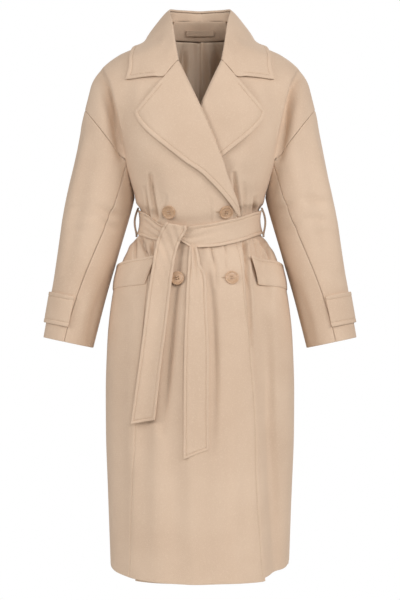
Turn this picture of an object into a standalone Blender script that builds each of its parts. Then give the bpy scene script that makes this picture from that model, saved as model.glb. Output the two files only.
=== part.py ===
"""A long double-breasted wrap coat in thick wool cloth, filled out as if worn.

Metres, +Z up. The front faces -Y and +X is the wearer's left. The origin lies between the
shoulders at the side of the neck, where the wearer holds the coat up.

The cloth follows one form: a body tube and two arm tubes that run together at the shoulders.
Each panel is a grid on that form, edged by its seams, and given a wall to the inside.
"""

import math

import bpy
import numpy as np

# Driving sizes
WALL = 0.0024  # coat cloth
THIN = 0.0010  # lining cloth
SEAM = 0.0003  # half of the gap between two pieces at a seam
LAYER = 0.0008  # gap between two layers that lie on each other
UNDERARM = -0.350  # height where body and sleeve part
VALLEY = -0.282  # height where the armhole seam leaves the fold in front of the arm
LAPEL_BREAK = -0.403  # height where the roll line meets the front edge
LAPEL_TOP = -0.080  # height where the roll line meets the neck seam
NECK_SIDE = (0.078, 0.012)  # side neck point: distance from the centre, height
BELT_WIDTH = 0.050
BELT_WALL = 0.0032
BUTTON_WIDTH = 0.028
BUTTON_WALL = 0.0042
CUFF = 0.528  # from the shoulder ball to the sleeve hem, along the arm

# The arm: a straight tube that starts in a ball at the shoulder.
SHOULDER = np.array((0.1655, 0.006, -0.140))
ARM_AXIS = np.array((0.2080, -0.0350, -0.9775))
ARM_AXIS = ARM_AXIS / np.linalg.norm(ARM_AXIS)
ARM_BACK = np.array((0.0, 1.0, 0.0)) - ARM_AXIS * ARM_AXIS[1]
ARM_BACK = ARM_BACK / np.linalg.norm(ARM_BACK)
ARM_OUT = np.cross(ARM_BACK, ARM_AXIS)
ARM_OUT = ARM_OUT * np.sign(ARM_OUT[0])
BALL = 0.072

FRONT, BACK = -1, 1
RIGHT, LEFT = -1, 1  # the wearer's right is at -X

WOOL = ("wool cloth", (0.694, 0.527, 0.392), 0.92, 0.0)
LINING = ("lining", (0.60, 0.45, 0.33), 0.55, 0.0)
HORN = ("button horn", (0.52, 0.33, 0.19), 0.35, 0.0)


class Table:
    """Rows of sizes with named columns, read smoothly between the rows by their first column."""

    def __init__(self, columns, rows):
        ordered = sorted(rows)
        self.columns = columns
        self.where = np.array([row[0] for row in ordered])
        self.values = np.array([row[1:] for row in ordered], float)
        step = np.diff(self.where)[:, None]
        slope = np.diff(self.values, axis=0) / step
        middle = np.where(slope[1:] * slope[:-1] > 0, 2 * slope[1:] * slope[:-1], 0.0)
        middle = middle / np.where(np.abs(slope[1:] + slope[:-1]) > 1e-9, slope[1:] + slope[:-1], 1.0)
        self.slope = np.concatenate([slope[:1], middle, slope[-1:]])

    def at(self, column, where):
        """The column's value at each place, held level past the table's ends."""
        k = self.columns.index(column) - 1
        x = np.clip(np.asarray(where, float), self.where[0], self.where[-1])
        i = np.clip(np.searchsorted(self.where, x) - 1, 0, len(self.where) - 2)
        h = self.where[i + 1] - self.where[i]
        t = (x - self.where[i]) / h
        low, high = self.values[i, k], self.values[i + 1, k]
        curve = (2 * t**3 - 3 * t**2 + 1) * low + (3 * t**2 - 2 * t**3) * high
        return curve + h * ((t**3 - 2 * t**2 + t) * self.slope[i, k] + (t**3 - t**2) * self.slope[i + 1, k])


BODY = Table(
    ("height", "half_width", "front", "back", "squareness"),
    (
        (0.060, 0.046, 0.036, 0.052, 2.0),
        (0.030, 0.066, 0.050, 0.070, 2.0),
        (0.012, 0.078, 0.060, 0.080, 2.0),
        (-0.021, 0.106, 0.078, 0.096, 2.0),
        (-0.042, 0.141, 0.092, 0.106, 2.0),
        (-0.056, 0.163, 0.101, 0.112, 2.1),
        (-0.074, 0.173, 0.109, 0.118, 2.2),
        (-0.105, 0.176, 0.118, 0.124, 2.5),
        (-0.150, 0.173, 0.128, 0.129, 2.8),
        (-0.210, 0.166, 0.137, 0.131, 3.0),
        (-0.280, 0.156, 0.141, 0.129, 3.0),
        (-0.320, 0.146, 0.137, 0.124, 2.9),
        (-0.350, 0.1365, 0.131, 0.119, 2.7),
        (-0.364, 0.1335, 0.127, 0.116, 2.6),
        (-0.378, 0.1240, 0.119, 0.111, 2.5),
        (-0.400, 0.1215, 0.116, 0.108, 2.4),
        (-0.426, 0.1260, 0.117, 0.110, 2.4),
        (-0.457, 0.1490, 0.128, 0.122, 2.4),
        (-0.490, 0.1640, 0.137, 0.133, 2.4),
        (-0.560, 0.1840, 0.150, 0.148, 2.4),
        (-0.653, 0.1940, 0.158, 0.158, 2.3),
        (-0.760, 0.1975, 0.162, 0.164, 2.3),
        (-0.840, 0.1970, 0.164, 0.167, 2.3),
        (-0.958, 0.1930, 0.165, 0.168, 2.3),
        (-1.140, 0.1865, 0.166, 0.168, 2.3),
    ),
)

ARM = Table(
    ("along", "half_width", "half_depth"),
    (
        (0.00, 0.0670, 0.078),
        (0.10, 0.0700, 0.080),
        (0.22, 0.0705, 0.079),
        (0.32, 0.0645, 0.073),
        (0.42, 0.0575, 0.066),
        (0.56, 0.0520, 0.060),
    ),
)

# The edge of a front, as seen from the front: how far it lies past the centre at each height.
# Above the break it is the roll line, below it the edge that laps over.
FRONT_EDGE = Table(
    ("height", "past_centre"),
    (
        (LAPEL_TOP, -0.0455),
        (-0.133, -0.0218),
        (-0.186, 0.0016),
        (-0.278, 0.0385),
        (-0.330, 0.0552),
        (-0.373, 0.0712),
        (LAPEL_BREAK, 0.0765),
        (-0.448, 0.0775),
        (-0.494, 0.0880),
        (-0.587, 0.0965),
        (-0.649, 0.1040),
        (-0.777, 0.1140),
        (-0.933, 0.1230),
        (-1.140, 0.1370),
    ),
)

# The lapel's outer edge: how far it lies past the centre at each height (negative: its own side).
LAPEL_EDGE = Table(
    ("height", "past_centre"),
    (
        (-0.115, -0.0734),
        (-0.118, -0.0745),
        (-0.184, -0.1310),
        (-0.196, -0.1270),
        (-0.287, -0.0325),
        (-0.308, -0.0010),
        (-0.360, 0.0500),
        (-0.381, 0.0655),
        (-0.396, 0.0755),
    ),
)

# The seam down the right front's skirt, beside which its side panel begins.
SIDE_SEAM = Table(
    ("height", "from_centre"),
    ((-0.500, 0.104), (-0.575, 0.109), (-0.840, 0.1287), (-1.140, 0.1410)),
)
SIDE_SEAM_COLUMN = 10

# The belt's middle round the waist: it is lowest at the knot.
BELT_SIDE = -0.4035
BELT_LINE = Table(
    ("degrees", "height"),
    (
        (-180, -0.400),
        (-90, BELT_SIDE),
        (-60, -0.412),
        (-35, -0.432),
        (-15, -0.4395),
        (10, -0.436),
        (35, -0.425),
        (60, -0.411),
        (90, BELT_SIDE),
        (180, -0.400),
    ),
)

# Folds: where they start and end (height and distance from the centre), on which face,
# and how wide and deep they are. Ridges have a negative depth.
FOLDS = (
    (FRONT, -0.300, -0.395, -0.096, -0.086, 0.017, 0.0055),
    (FRONT, -0.280, -0.395, 0.102, 0.088, 0.017, 0.0055),
    (FRONT, -0.425, -0.560, -0.100, -0.122, 0.018, 0.0060),
    (FRONT, -0.425, -0.580, 0.112, 0.136, 0.018, 0.0060),
    (FRONT, -0.440, -1.140, 0.124, 0.156, 0.020, 0.0110),
    (FRONT, -0.440, -0.900, -0.064, -0.122, 0.020, 0.0060),
    (FRONT, -0.470, -1.140, 0.020, 0.030, 0.030, 0.0045),
    (BACK, -0.425, -1.140, 0.060, 0.085, 0.026, 0.0080),
    (BACK, -0.425, -1.140, -0.066, -0.090, 0.026, 0.0080),
    (BACK, -0.425, -0.800, 0.004, 0.010, 0.020, 0.0050),
    (BACK, -0.270, -0.395, 0.055, 0.045, 0.022, 0.0050),
    (BACK, -0.260, -0.395, -0.060, -0.048, 0.022, 0.0050),
)


def smooth(low, high, value):
    """0 below low, 1 above high and an even curve between."""
    t = np.clip((value - low) / (high - low), 0.0, 1.0)
    return t * t * (3 - 2 * t)


def unit(vectors):
    return vectors / np.maximum(np.linalg.norm(vectors, axis=-1, keepdims=True), 1e-12)


def body_folds(points):
    """How far the folds push the cloth in at each point."""
    x, y, z = points[..., 0], points[..., 1], points[..., 2]
    push = np.zeros(x.shape)
    for face, top, bottom, x_top, x_bottom, width, depth in FOLDS:
        t = np.clip((top - z) / (top - bottom), 0.0, 1.0)
        across = (x - (x_top + (x_bottom - x_top) * t)) / width
        ends = smooth(bottom - 0.02, bottom + 0.05, z) if bottom > -1.1 else 1.0
        ends = ends * smooth(top + 0.02, top - 0.04, z) * (y * face > 0.02)
        push += depth * ends * np.exp(-across * across)
    return push


def belt_line(angle):
    """The height of the belt's middle at an angle round the waist, from the front towards +X."""
    return BELT_LINE.at("height", np.degrees(angle))


def body_form(points):
    """How far each point lies outside the body tube, measured from its axis; negative inside."""
    x, y, z = points[..., 0], points[..., 1], points[..., 2]
    z = z - (belt_line(np.arctan2(x, -y)) - BELT_SIDE) * np.exp(-(((z + 0.43) / 0.085) ** 2))
    deep = np.where(y < 0, BODY.at("front", z), BODY.at("back", z))
    power = BODY.at("squareness", z)
    reach = (np.abs(x / BODY.at("half_width", z)) ** power + np.abs(y / deep) ** power) ** (1 / power)
    return (np.hypot(x, y) + 1e-6) * (1 - 1 / np.maximum(reach, 1e-6)) + body_folds(points)


def arm_parts(points, side):
    """Each point's place along, out from and behind the axis of the arm on this side."""
    relative = points * np.array((side, 1.0, 1.0)) - SHOULDER
    return relative @ ARM_AXIS, relative @ ARM_OUT, relative @ ARM_BACK


def arm_form(points, side):
    """How far each point lies outside this side's arm tube; negative inside."""
    along, out, behind = arm_parts(points, side)
    ball = np.minimum(along, 0.0)
    wide, deep = ARM.at("half_width", along), ARM.at("half_depth", along)
    reach = np.sqrt((out / wide) ** 2 + (behind / deep) ** 2 + (ball / BALL) ** 2)
    return np.sqrt(out**2 + behind**2 + ball**2) * (1 - 1 / np.maximum(reach, 1e-6))


def coat_form(points):
    """The body and both arms run together: widely on the shoulders, sharply under the arms."""
    body = body_form(points)
    arm = np.minimum(arm_form(points, RIGHT), arm_form(points, LEFT))
    blend = 0.008 + 0.036 * smooth(-0.27, -0.10, points[..., 2])
    share = np.clip(0.5 + 0.5 * (arm - body) / blend, 0.0, 1.0)
    return arm * (1 - share) + body * share - blend * share * (1 - share)


def reach_form(form, origins, directions, far=0.30, steps=150):
    """Where a ray from each origin first comes out of the form."""
    marks = np.linspace(0.0, far, steps)
    points = origins[..., None, :] + directions[..., None, :] * marks[:, None]
    outside = form(points) >= 0
    outside[..., -1] = True
    first = np.maximum(outside.argmax(axis=-1), 1)
    low, high = marks[first - 1], marks[first]
    for _ in range(22):
        middle = (low + high) / 2
        out = form(origins + directions * middle[..., None]) >= 0
        low, high = np.where(out, low, middle), np.where(out, middle, high)
    return origins + directions * high[..., None]


def normals_of(form, points, step=0.0012):
    """The way out of the form at each point."""
    slopes = [form(points + step * axis) - form(points - step * axis) for axis in np.eye(3)]
    return unit(np.stack(slopes, axis=-1))


def vector(x, y, z):
    """Three arrays or numbers joined into points."""
    return np.stack(np.broadcast_arrays(x, y, z), axis=-1).astype(float)


def mix(a, b, t):
    return a + (b - a) * t


# ---------------------------------------------------------------- seams of the body panels

LOW_ROWS = (
    *(-0.350, -0.364, -0.378, -0.392, -0.408, -0.424, -0.440, -0.458, -0.482),
    *(-0.520, -0.575, -0.645, -0.725, -0.815, -0.915, -1.015, -1.114),
)
HEM = LOW_ROWS[-1]
VALLEY_ROWS = 5
TOP_STEPS = (0.14, 0.28, 0.42, 0.56, 0.67, 0.75, 0.84, 0.92, 1.0)
RING_START = len(LOW_ROWS) - 1  # the panel row that ends at the underarm
SIDE_SEAM_ROW = 7  # the panel row, under the pocket, where the side panel ends
FRONT_COLUMNS = 18
BACK_COLUMNS = 13
RELAXING = 40  # rounds of spreading the upper points of a panel
NECK_SHARE = 4 / 12  # the part of half a back's top edge that is neckline
SINK_LAYER = WALL + 0.0026  # how deep the left front lies under the right one
LAPEL_WALL = 0.0030
ON_PANEL = 0.0014 + LAPEL_WALL  # outer face of a lapel or collar above the coat
UNDER_LAPEL = 0.0010  # more room under the left lapel, whose front sinks in beside it


def valley_angle(height, face):
    """The angle round the body, from the front or the back, where it goes behind the arm."""
    angle = np.radians(np.linspace(50, 90, 161))
    way = vector(np.sin(angle), face * np.cos(angle), 0.0)
    spot = reach_form(body_form, vector(0.0, 0.0, height + 0.0 * angle), way)
    behind = arm_form(spot, LEFT) < 0
    behind[-1] = True
    return angle[behind.argmax()]


def hem_drop(angle, drop):
    """How far the hem lies below its side, at an angle from the front or the back."""
    return drop * np.clip(np.cos(np.maximum(angle, 0.2 * angle)), 0, 1) ** 0.7


def front_spot(form, x, height):
    """The point of a form straight in front of places given as seen from the front."""
    x, height = np.broadcast_arrays(np.asarray(x, float), np.asarray(height, float))
    return reach_form(form, vector(x, 0.0, height), vector(0.0 * x, -1.0, 0.0))


def edge_angle(height):
    """The angle round the body of a front's edge, negative past the centre."""
    past = float(FRONT_EDGE.at("past_centre", height))
    return math.atan2(-past, -front_spot(body_form, -past, height)[..., 1])


def side_seam_angle(height):
    """The angle round the body of the seam down the right front's skirt."""
    x = float(SIDE_SEAM.at("from_centre", height))
    return math.atan2(x, -front_spot(body_form, x, height)[..., 1])


def ridge_ray(r):
    """The rays that find the shoulder seam, from the side neck at 0 to the armhole at 1."""
    start = mix(vector(NECK_SIDE[0], 0.0, -0.060), vector(0.1764, 0.0, -0.252), r[..., None])
    lean = np.radians(38.5) * r
    return start, vector(np.sin(lean), 0.0, np.cos(lean))


def front_top(v, u, start_low, way_low):
    """The rays of a front's rows above the valley: they turn from the front to the ridge."""
    start_high, way_high = ridge_ray(u)
    height = mix(start_low[0, 2], LAPEL_TOP, min(v / 0.75, 1.0))
    late = max((v - 0.75) / 0.25, 0.0)
    edge = mix(vector(-FRONT_EDGE.at("past_centre", height), 0.0, height), start_high[0], late)
    near = np.clip(1 - u * 1.6, 0, 1)[:, None] ** 2
    start = mix(mix(start_low, start_high, v), edge, near)
    turn = mix(float(smooth(0.35, 1.0, v)), late, near)
    return start, unit(mix(way_low, way_high, turn))


def back_neck_ray(share):
    """The rays that find the back neckline, from the centre back at 0 to the side neck at 1."""
    turn = share * math.pi / 2
    rise = share**1.5 * math.pi / 2
    side, _ = ridge_ray(np.zeros(1))
    start = mix(vector(0.0, 0.0, 0.026), side[0], share[:, None] ** 1.5)
    start[:, 0] = side[0][0] * np.sin(turn)
    return start, vector(0.0 * rise, np.cos(rise), np.sin(rise))


def back_top(v, u, start_low, way_low):
    """The rays of half a back's rows above the valley: to the neckline and the ridge."""
    start_neck, way_neck = back_neck_ray(np.clip(u / NECK_SHARE, 0, 1))
    start_ridge, way_ridge = ridge_ray(np.clip((u - NECK_SHARE) / (1 - NECK_SHARE), 0, 1))
    is_neck = (u < NECK_SHARE)[:, None]
    turn = float(smooth(0.35, 1.0, v))
    start = mix(start_low, np.where(is_neck, start_neck, start_ridge), v)
    return start, unit(mix(way_low, np.where(is_neck, way_neck, way_ridge), turn))


def mirrored(form, side):
    """The form as seen by a panel that is worked out on the +X side."""
    return lambda points: form(points * np.array((side, 1.0, 1.0)))


def panel_grid(side, face, columns, top_rays, drop):
    """A front, or half a back, as rows of points from the hem up to the shoulder seam.

    It is worked out on the +X side. top_rays gives the rays of the rows above the valley.
    """
    body, coat = mirrored(body_form, side), mirrored(coat_form, side)
    u = np.linspace(0.0, 1.0, columns)
    spread = mix(u, np.sin(u * np.pi / 2), 0.35)

    def row(edge_height, side_height, angle_end, level=0.0):
        start = edge_angle(edge_height) if face == FRONT else 0.0
        angle = mix(start, angle_end, spread)
        if side == RIGHT and face == FRONT:
            seam = mix(angle[SIDE_SEAM_COLUMN], side_seam_angle(edge_height), smooth(-0.41, -0.52, edge_height))
            marks = (start, angle[SIDE_SEAM_COLUMN], angle_end)
            angle = np.interp(angle, marks, (start, seam, angle_end))
        height = mix(edge_height, side_height, u) - level * hem_drop(angle, drop)
        way = vector(np.sin(angle), face * np.cos(angle), 0.0)
        return reach_form(body, vector(0.0, 0.0, height), way)

    rows = []
    for height in LOW_ROWS[::-1]:
        rows.append(row(height, height, np.pi / 2, float(smooth(-0.70, HEM, height))))
    for v in np.arange(1, VALLEY_ROWS + 1) / VALLEY_ROWS:
        height = mix(UNDERARM, VALLEY, v)
        rows.append(row(mix(UNDERARM, VALLEY + 0.03, v), height, valley_angle(height, face)))
    start_low = rows[-1] * np.array((1.0, 0.0, 1.0))
    way_low = vector(0.0 * u, face, 0.0)
    for v in TOP_STEPS:
        rows.append(reach_form(coat, *top_rays(v, u, start_low, way_low)))
    return relaxed(np.array(rows), coat, RING_START + VALLEY_ROWS, face == BACK)


def onto(points, form):
    """Points near a form moved onto it."""
    for _ in range(3):
        out = np.stack([form(points + a) - form(points - a) for a in 0.0005 * np.eye(3)], axis=-1) / 0.001
        points = points - out * (form(points) / np.maximum((out**2).sum(axis=-1), 0.1))[..., None]
    return points


def relaxed(grid, form, first, middle_slides):
    """Spreads the points above a row evenly over the form. The seams stay where they are."""
    grid = grid.copy()
    for _ in range(RELAXING):
        top = grid[first:]
        inner = (top[:-2, 1:-1] + top[2:, 1:-1] + top[1:-1, :-2] + top[1:-1, 2:]) / 4
        edge = (top[:-2, 0] + top[2:, 0]) / 2
        top[1:-1, 1:-1] = onto(inner, form)
        if middle_slides:
            top[1:-1, 0] = onto(edge, form)
            top[1:-1, 0, 0] = 0.0
    return grid


def panel_normals(grid, side):
    """The way out at each point: of the body below the armhole, of the whole coat above it."""
    low = normals_of(mirrored(body_form, side), grid)
    high = normals_of(mirrored(coat_form, side), grid)
    share = np.clip((np.arange(len(grid)) - RING_START - VALLEY_ROWS) / 2, 0, 1)
    return unit(mix(low, high, share[:, None, None]))


def inset(grid, edges, amount=SEAM):
    """Draws the named edges of a grid in, so that two pieces don't touch at their seam."""
    grid = grid.copy()
    if "low" in edges:
        grid[0] += unit(grid[1] - grid[0]) * amount
    if "high" in edges:
        grid[-1] += unit(grid[-2] - grid[-1]) * amount
    if "start" in edges:
        grid[:, 0] += unit(grid[:, 1] - grid[:, 0]) * amount
    if "end" in edges:
        grid[:, -1] += unit(grid[:, -2] - grid[:, -1]) * amount
    return grid


def grid_normals(grid):
    """The normal at each point of a grid, by its neighbours."""
    return unit(np.cross(np.gradient(grid, axis=1), np.gradient(grid, axis=0)))


def sink_of(points):
    """How deep the left front lies under the right one, given points in the left's own places."""
    x, z = points[..., 0], points[..., 2]
    line = FRONT_EDGE.at("past_centre", z)
    full = SINK_LAYER + (ON_PANEL + UNDER_LAPEL) * smooth(-0.43, -0.39, z)
    return full * (1 - smooth(line, line + 0.080, x)) * smooth(-0.08, -0.17, z)


def push_clear(points, form, level, rounds=4):
    """Moves points outwards until each is at least level outside the form."""
    for _ in range(rounds):
        short = np.maximum(level - form(points), 0.0)
        points = points + normals_of(form, points) * short[..., None]
    return points


def spline(points, count):
    """Points evenly spread along a smooth curve through a few points."""
    points = np.array(points, float)
    chord = np.concatenate([[0], np.cumsum(np.linalg.norm(np.diff(points, axis=0), axis=1))])
    columns = ("at", "x", "y", "z")
    table = Table(columns, [(c, *p) for c, p in zip(chord, points)])
    where = np.linspace(0, chord[-1], count)
    return np.stack([table.at(name, where) for name in columns[1:]], axis=-1)


# ---------------------------------------------------------------- solids


def material(finish):
    name, colour, roughness, metallic = finish
    made = bpy.data.materials.get(name) or bpy.data.materials.new(name)
    made.use_nodes = True
    shader = made.node_tree.nodes["Principled BSDF"]
    shader.inputs["Base Color"].default_value = (*colour, 1.0)
    shader.inputs["Roughness"].default_value = roughness
    shader.inputs["Metallic"].default_value = metallic
    return made


def add_object(name, points, faces, finish):
    """A smooth-shaded object with its faces turned outwards."""
    mesh = bpy.data.meshes.new(name)
    mesh.from_pydata([tuple(map(float, p)) for p in points], [], [tuple(map(int, f)) for f in faces])
    mesh.materials.append(material(finish))
    corners = [(f[0], f[k], f[k + 1]) for f in faces for k in range(1, len(f) - 1)]
    a, b, c = (points[[corner[k] for corner in corners]] for k in range(3))
    if (a * np.cross(b, c)).sum() < 0:
        mesh.flip_normals()
    mesh.shade_smooth()
    mesh.set_sharp_from_angle(angle=math.radians(50))
    made = bpy.data.objects.new(name, mesh)
    bpy.context.scene.collection.objects.link(made)
    return made


def add_wall(name, outer, inner, finish=WOOL, left_out=None):
    """A wall between two grids of the same size, without the cells that are left out."""
    rows, columns = outer.shape[:2]
    count = rows * columns
    points = np.concatenate([outer.reshape(-1, 3), inner.reshape(-1, 3)])
    faces, rim = [], {}
    for i in range(rows - 1):
        for j in range(columns - 1):
            if left_out is not None and left_out(i, j):
                continue
            a = i * columns + j
            for face in ((a, a + 1, a + 1 + columns), (a, a + 1 + columns, a + columns)):
                faces.append(face)
                faces.append(tuple(k + count for k in reversed(face)))
                for ends in zip(face, face[1:] + face[:1]):
                    if rim.pop(ends[::-1], None) is None:
                        rim[ends] = True
    faces += [(b, a, a + count, b + count) for a, b in rim]
    used = np.unique([corner for face in faces for corner in face])
    place = np.zeros(2 * count, int)
    place[used] = np.arange(len(used))
    return add_object(name, points[used], [tuple(place[list(face)]) for face in faces], finish)


def add_sheet(name, own, side, wall, finish=WOOL, normals=None):
    """A wall behind a grid that was worked out on the +X side, placed on its own side."""
    turn = np.array((side, 1.0, 1.0))
    normals = grid_normals(own) if normals is None else normals
    return add_wall(name, own * turn, (own - normals * wall) * turn, finish)


# ---------------------------------------------------------------- the coat's pieces


def add_fronts():
    """Both fronts. Returns their grids on the +X side, before the seams are drawn in."""
    grids = {}
    for side, name in ((RIGHT, "front_right"), (LEFT, "front_left")):
        grid = panel_grid(side, FRONT, FRONT_COLUMNS, front_top, 0.0225)
        normals = panel_normals(grid, side)
        grids[side] = grid
        shown = inset(grid, ("end", "high"))
        if side == LEFT:
            shown = shown - normals * sink_of(shown)[..., None]
            add_sheet(name, shown, side, WALL, normals=normals)
        else:
            add_split_front(name, shown, normals)
    return grids


def add_split_front(name, grid, normals):
    """The right front and, from its hem up to the pocket, its side panel."""
    row, column = SIDE_SEAM_ROW, SIDE_SEAM_COLUMN
    turn = np.array((RIGHT, 1.0, 1.0))
    panel = inset(grid[: row + 1, column:], ("start", "high"))
    add_sheet("side_front_right", panel, RIGHT, WALL, normals=normals[: row + 1, column:])
    front = grid.copy()
    front[:row, column] += unit(grid[:row, column - 1] - grid[:row, column]) * SEAM
    front[row, column + 1 :] += unit(grid[row + 1, column + 1 :] - grid[row, column + 1 :]) * SEAM
    front[row, column] += unit(grid[row + 1, column - 1] - grid[row, column]) * SEAM
    inner = front - normals * WALL
    add_wall(name, front * turn, inner * turn, left_out=lambda i, j: i < row and j >= column)


def add_back():
    """The back in one piece. Returns its halves' grids on the +X side."""
    grids = {s: panel_grid(s, BACK, BACK_COLUMNS, back_top, 0.010) for s in (RIGHT, LEFT)}
    whole, out = [], []
    for side in (RIGHT, LEFT):
        turn = np.array((side, 1.0, 1.0))
        shown = inset(grids[side], ("end", "high")) * turn
        normals = panel_normals(grids[side], side) * turn
        order = slice(None, 0, -1) if side == RIGHT else slice(None)
        whole.append(shown[:, order])
        out.append(normals[:, order])
    outer, out = np.concatenate(whole, axis=1), np.concatenate(out, axis=1)
    add_wall("back", outer, outer - out * WALL)
    return grids


def arm_point(along, angle, level=0.0):
    """A point of the arm tube; the angle is 0 in front and a quarter turn outside."""
    wide = ARM.at("half_width", along) + level
    deep = ARM.at("half_depth", along) + level
    out = (wide * np.sin(angle))[..., None] * ARM_OUT
    behind = (-deep * np.cos(angle))[..., None] * ARM_BACK
    return SHOULDER + along[..., None] * ARM_AXIS + out + behind


SLEEVE_ROWS = 10
CUFF_ANGLES = {"front_seam": 5.0, "outside": 90.0, "back_seam": 178.0, "inside": 270.0}


def add_sleeves(fronts, backs):
    """Two-piece sleeves: each starts at the armhole seam and ends at the cuff."""
    for side, word in ((RIGHT, "right"), (LEFT, "left")):
        front = fronts[side][RING_START:, -1]
        back = backs[side][RING_START:, -1]
        split = VALLEY_ROWS
        upper = np.concatenate([front[split:], back[split:-1][::-1]])
        under = np.concatenate([back[: split + 1][::-1], front[1 : split + 1]])
        add_sleeve(f"sleeve_upper_{word}", upper, side, ("front_seam", "outside", "back_seam"), 0)
        add_sleeve(f"sleeve_under_{word}", under, side, ("back_seam", "inside", "front_seam"), split)


def add_sleeve(name, ring, side, seams, underarm):
    """A strip of sleeve from its part of the armhole ring down to the cuff."""
    relative = ring - SHOULDER
    along = relative @ ARM_AXIS
    wide, deep = ARM.at("half_width", along), ARM.at("half_depth", along)
    angle = np.unwrap(np.arctan2((relative @ ARM_OUT) / wide, -(relative @ ARM_BACK) / deep))
    angle = angle + 2 * np.pi * (angle.mean() < 0)
    share = np.linspace(0, 1, len(ring))
    marks = [CUFF_ANGLES[s] for s in seams]
    marks[2] += 360.0 * (marks[2] < marks[1])
    cuff = np.radians(np.interp(share, (0, 0.5, 1), marks))
    lift = ring - arm_point(along, angle)
    rows = []
    for s in np.linspace(0, 1, SLEEVE_ROWS + 1) ** 1.15:
        turned = mix(angle, cuff, float(smooth(0, 1, s)))
        rows.append(arm_point(mix(along, CUFF, s), turned) + lift * (1 - float(smooth(0, 0.22, s))))
    grid = np.array(rows)
    body = mirrored(body_form, side)
    clear = push_clear(grid[1:], body, WALL / 2 + LAYER)
    grid = np.concatenate([grid[:1], clear])
    grid = inset(grid, ("low", "start", "end"), 1.5 * SEAM)
    normals = normals_of(lambda points: arm_form(points, LEFT), grid)
    if not underarm:
        lean = 2 * np.sin(np.pi * share)[:, None] ** 0.5
        normals[0] = unit(normals[0] + lean * normals_of(mirrored(coat_form, side), ring))
    add_sheet(name, grid, side, WALL, normals=normals)


GORGE_GAP = 0.0008  # collar and lapel each keep this far from the seam between them


def add_lapels():
    """The turned-back lapels, each with the roll where it folds off its front."""
    for side, word in ((RIGHT, "right"), (LEFT, "left")):
        coat = mirrored(coat_form, side)
        a = np.linspace(0, 1, 13)[:, None]
        w = np.linspace(0, 1, 9)[None, :]
        roll_z = mix(-0.396, LAPEL_TOP, a)
        edge_z = mix(-0.396, -0.184, a)
        roll_x = -FRONT_EDGE.at("past_centre", roll_z)
        edge_x = -LAPEL_EDGE.at("past_centre", edge_z)
        notch = 0.34
        top_x = np.interp(w, (0, notch, 1), (roll_x[-1, 0], 0.0734, edge_x[-1, 0]))
        top_z = np.interp(w, (0, notch, 1), (LAPEL_TOP, -0.1146, -0.184)) - 4 * GORGE_GAP
        x = mix(roll_x, edge_x, w) + (top_x - mix(roll_x[-1:], edge_x[-1:], w)) * a**3
        z = mix(roll_z, edge_z, w) + (top_z - mix(roll_z[-1:], edge_z[-1:], w)) * a**3
        x = x + 0.0015 * (w == 1) * (a < 0.02)
        spots = front_spot(coat, x, z)
        normals = normals_of(coat, spots)
        covered = sink_of(spots) if side == LEFT else np.zeros(x.shape)
        level = ON_PANEL + UNDER_LAPEL * (side == LEFT) - covered
        face = spots + normals * level[..., None]
        under = -covered[:, :1] - WALL * 0.5
        step_in = unit((spots[:, 0] - spots[:, 1]) * np.array((1.0, 1.0, 0.0)))
        roll = []
        for out, share in ((0.0006, 0.0), (0.0030, 0.35), (0.0036, 0.7)):
            height = mix(under[:, 0] + 0.0, level[:, 0], share)
            spot = spots[:, 0] + step_in * (out + 0.0020) + normals[:, 0] * height[:, None]
            roll.append(spot)
        outer = np.concatenate([np.stack(roll, axis=1), face], axis=1)
        inner_roll = []
        for out, share in ((0.0004, 0.0), (0.0010, 0.1), (0.0010, 0.2)):
            height = under[:, 0] + WALL * 0.5 + 0.0003 + share * 0.001
            spot = spots[:, 0] + step_in * (out + 0.0016) + normals[:, 0] * height[:, None]
            inner_roll.append(spot)
        inner_face = face - normals * LAPEL_WALL
        inner = np.concatenate([np.stack(inner_roll, axis=1), inner_face], axis=1)
        turn = np.array((side, 1.0, 1.0))
        add_wall(f"lapel_{word}", outer * turn, inner * turn)


# The collar's roll line and its outer edge, from the front end round to the centre back.
ROLL_LINE = (
    *((0.0455, -0.1126, -0.080), (0.0530, -0.0880, -0.033), (0.0590, -0.0480, 0.011)),
    *((0.0650, -0.0050, 0.040), (0.0560, 0.0420, 0.049), (0.0, 0.0780, 0.052)),
)
FALL_EDGE = (
    *((0.152, -0.0900, -0.118), (0.1460, -0.0620, -0.081), (0.1380, 0.0050, -0.035)),
    *((0.112, 0.0720, -0.040), (0.058, 0.1080, -0.046), (0.0, 0.1180, -0.047)),
)
NOTCH = (0.0740, -0.1195, -0.1135)
COLLAR_WALL = 0.0030
FALL_BULGE = 0.0050  # how far the collar bulges off a straight line just outside its roll
SHOULDER_BULGE = 0.0100  # the same halfway down, where it turns over the shoulder


def neck_line(fronts, backs):
    """The neck seam from beside the neck round to the centre back, by the panels' own points."""
    neck = round(NECK_SHARE * (BACK_COLUMNS - 1))
    seam = np.concatenate([fronts[LEFT][-3:, 0], backs[LEFT][-1, neck - 1 :: -1]])
    out = normals_of(coat_form, seam)
    along = unit(np.gradient(seam, axis=0))
    off = np.cross(along, out)
    off = off * np.sign(off[:, 2:])
    return seam + off * STAND_GAP, along


STAND_GAP = 0.0012


def both_sides(half):
    """A grid from the left's front end round the back to the right's, out of its +X half."""
    return np.concatenate([half * np.array((-1.0, 1.0, 1.0)), half[:, -2::-1]], axis=1)


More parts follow.
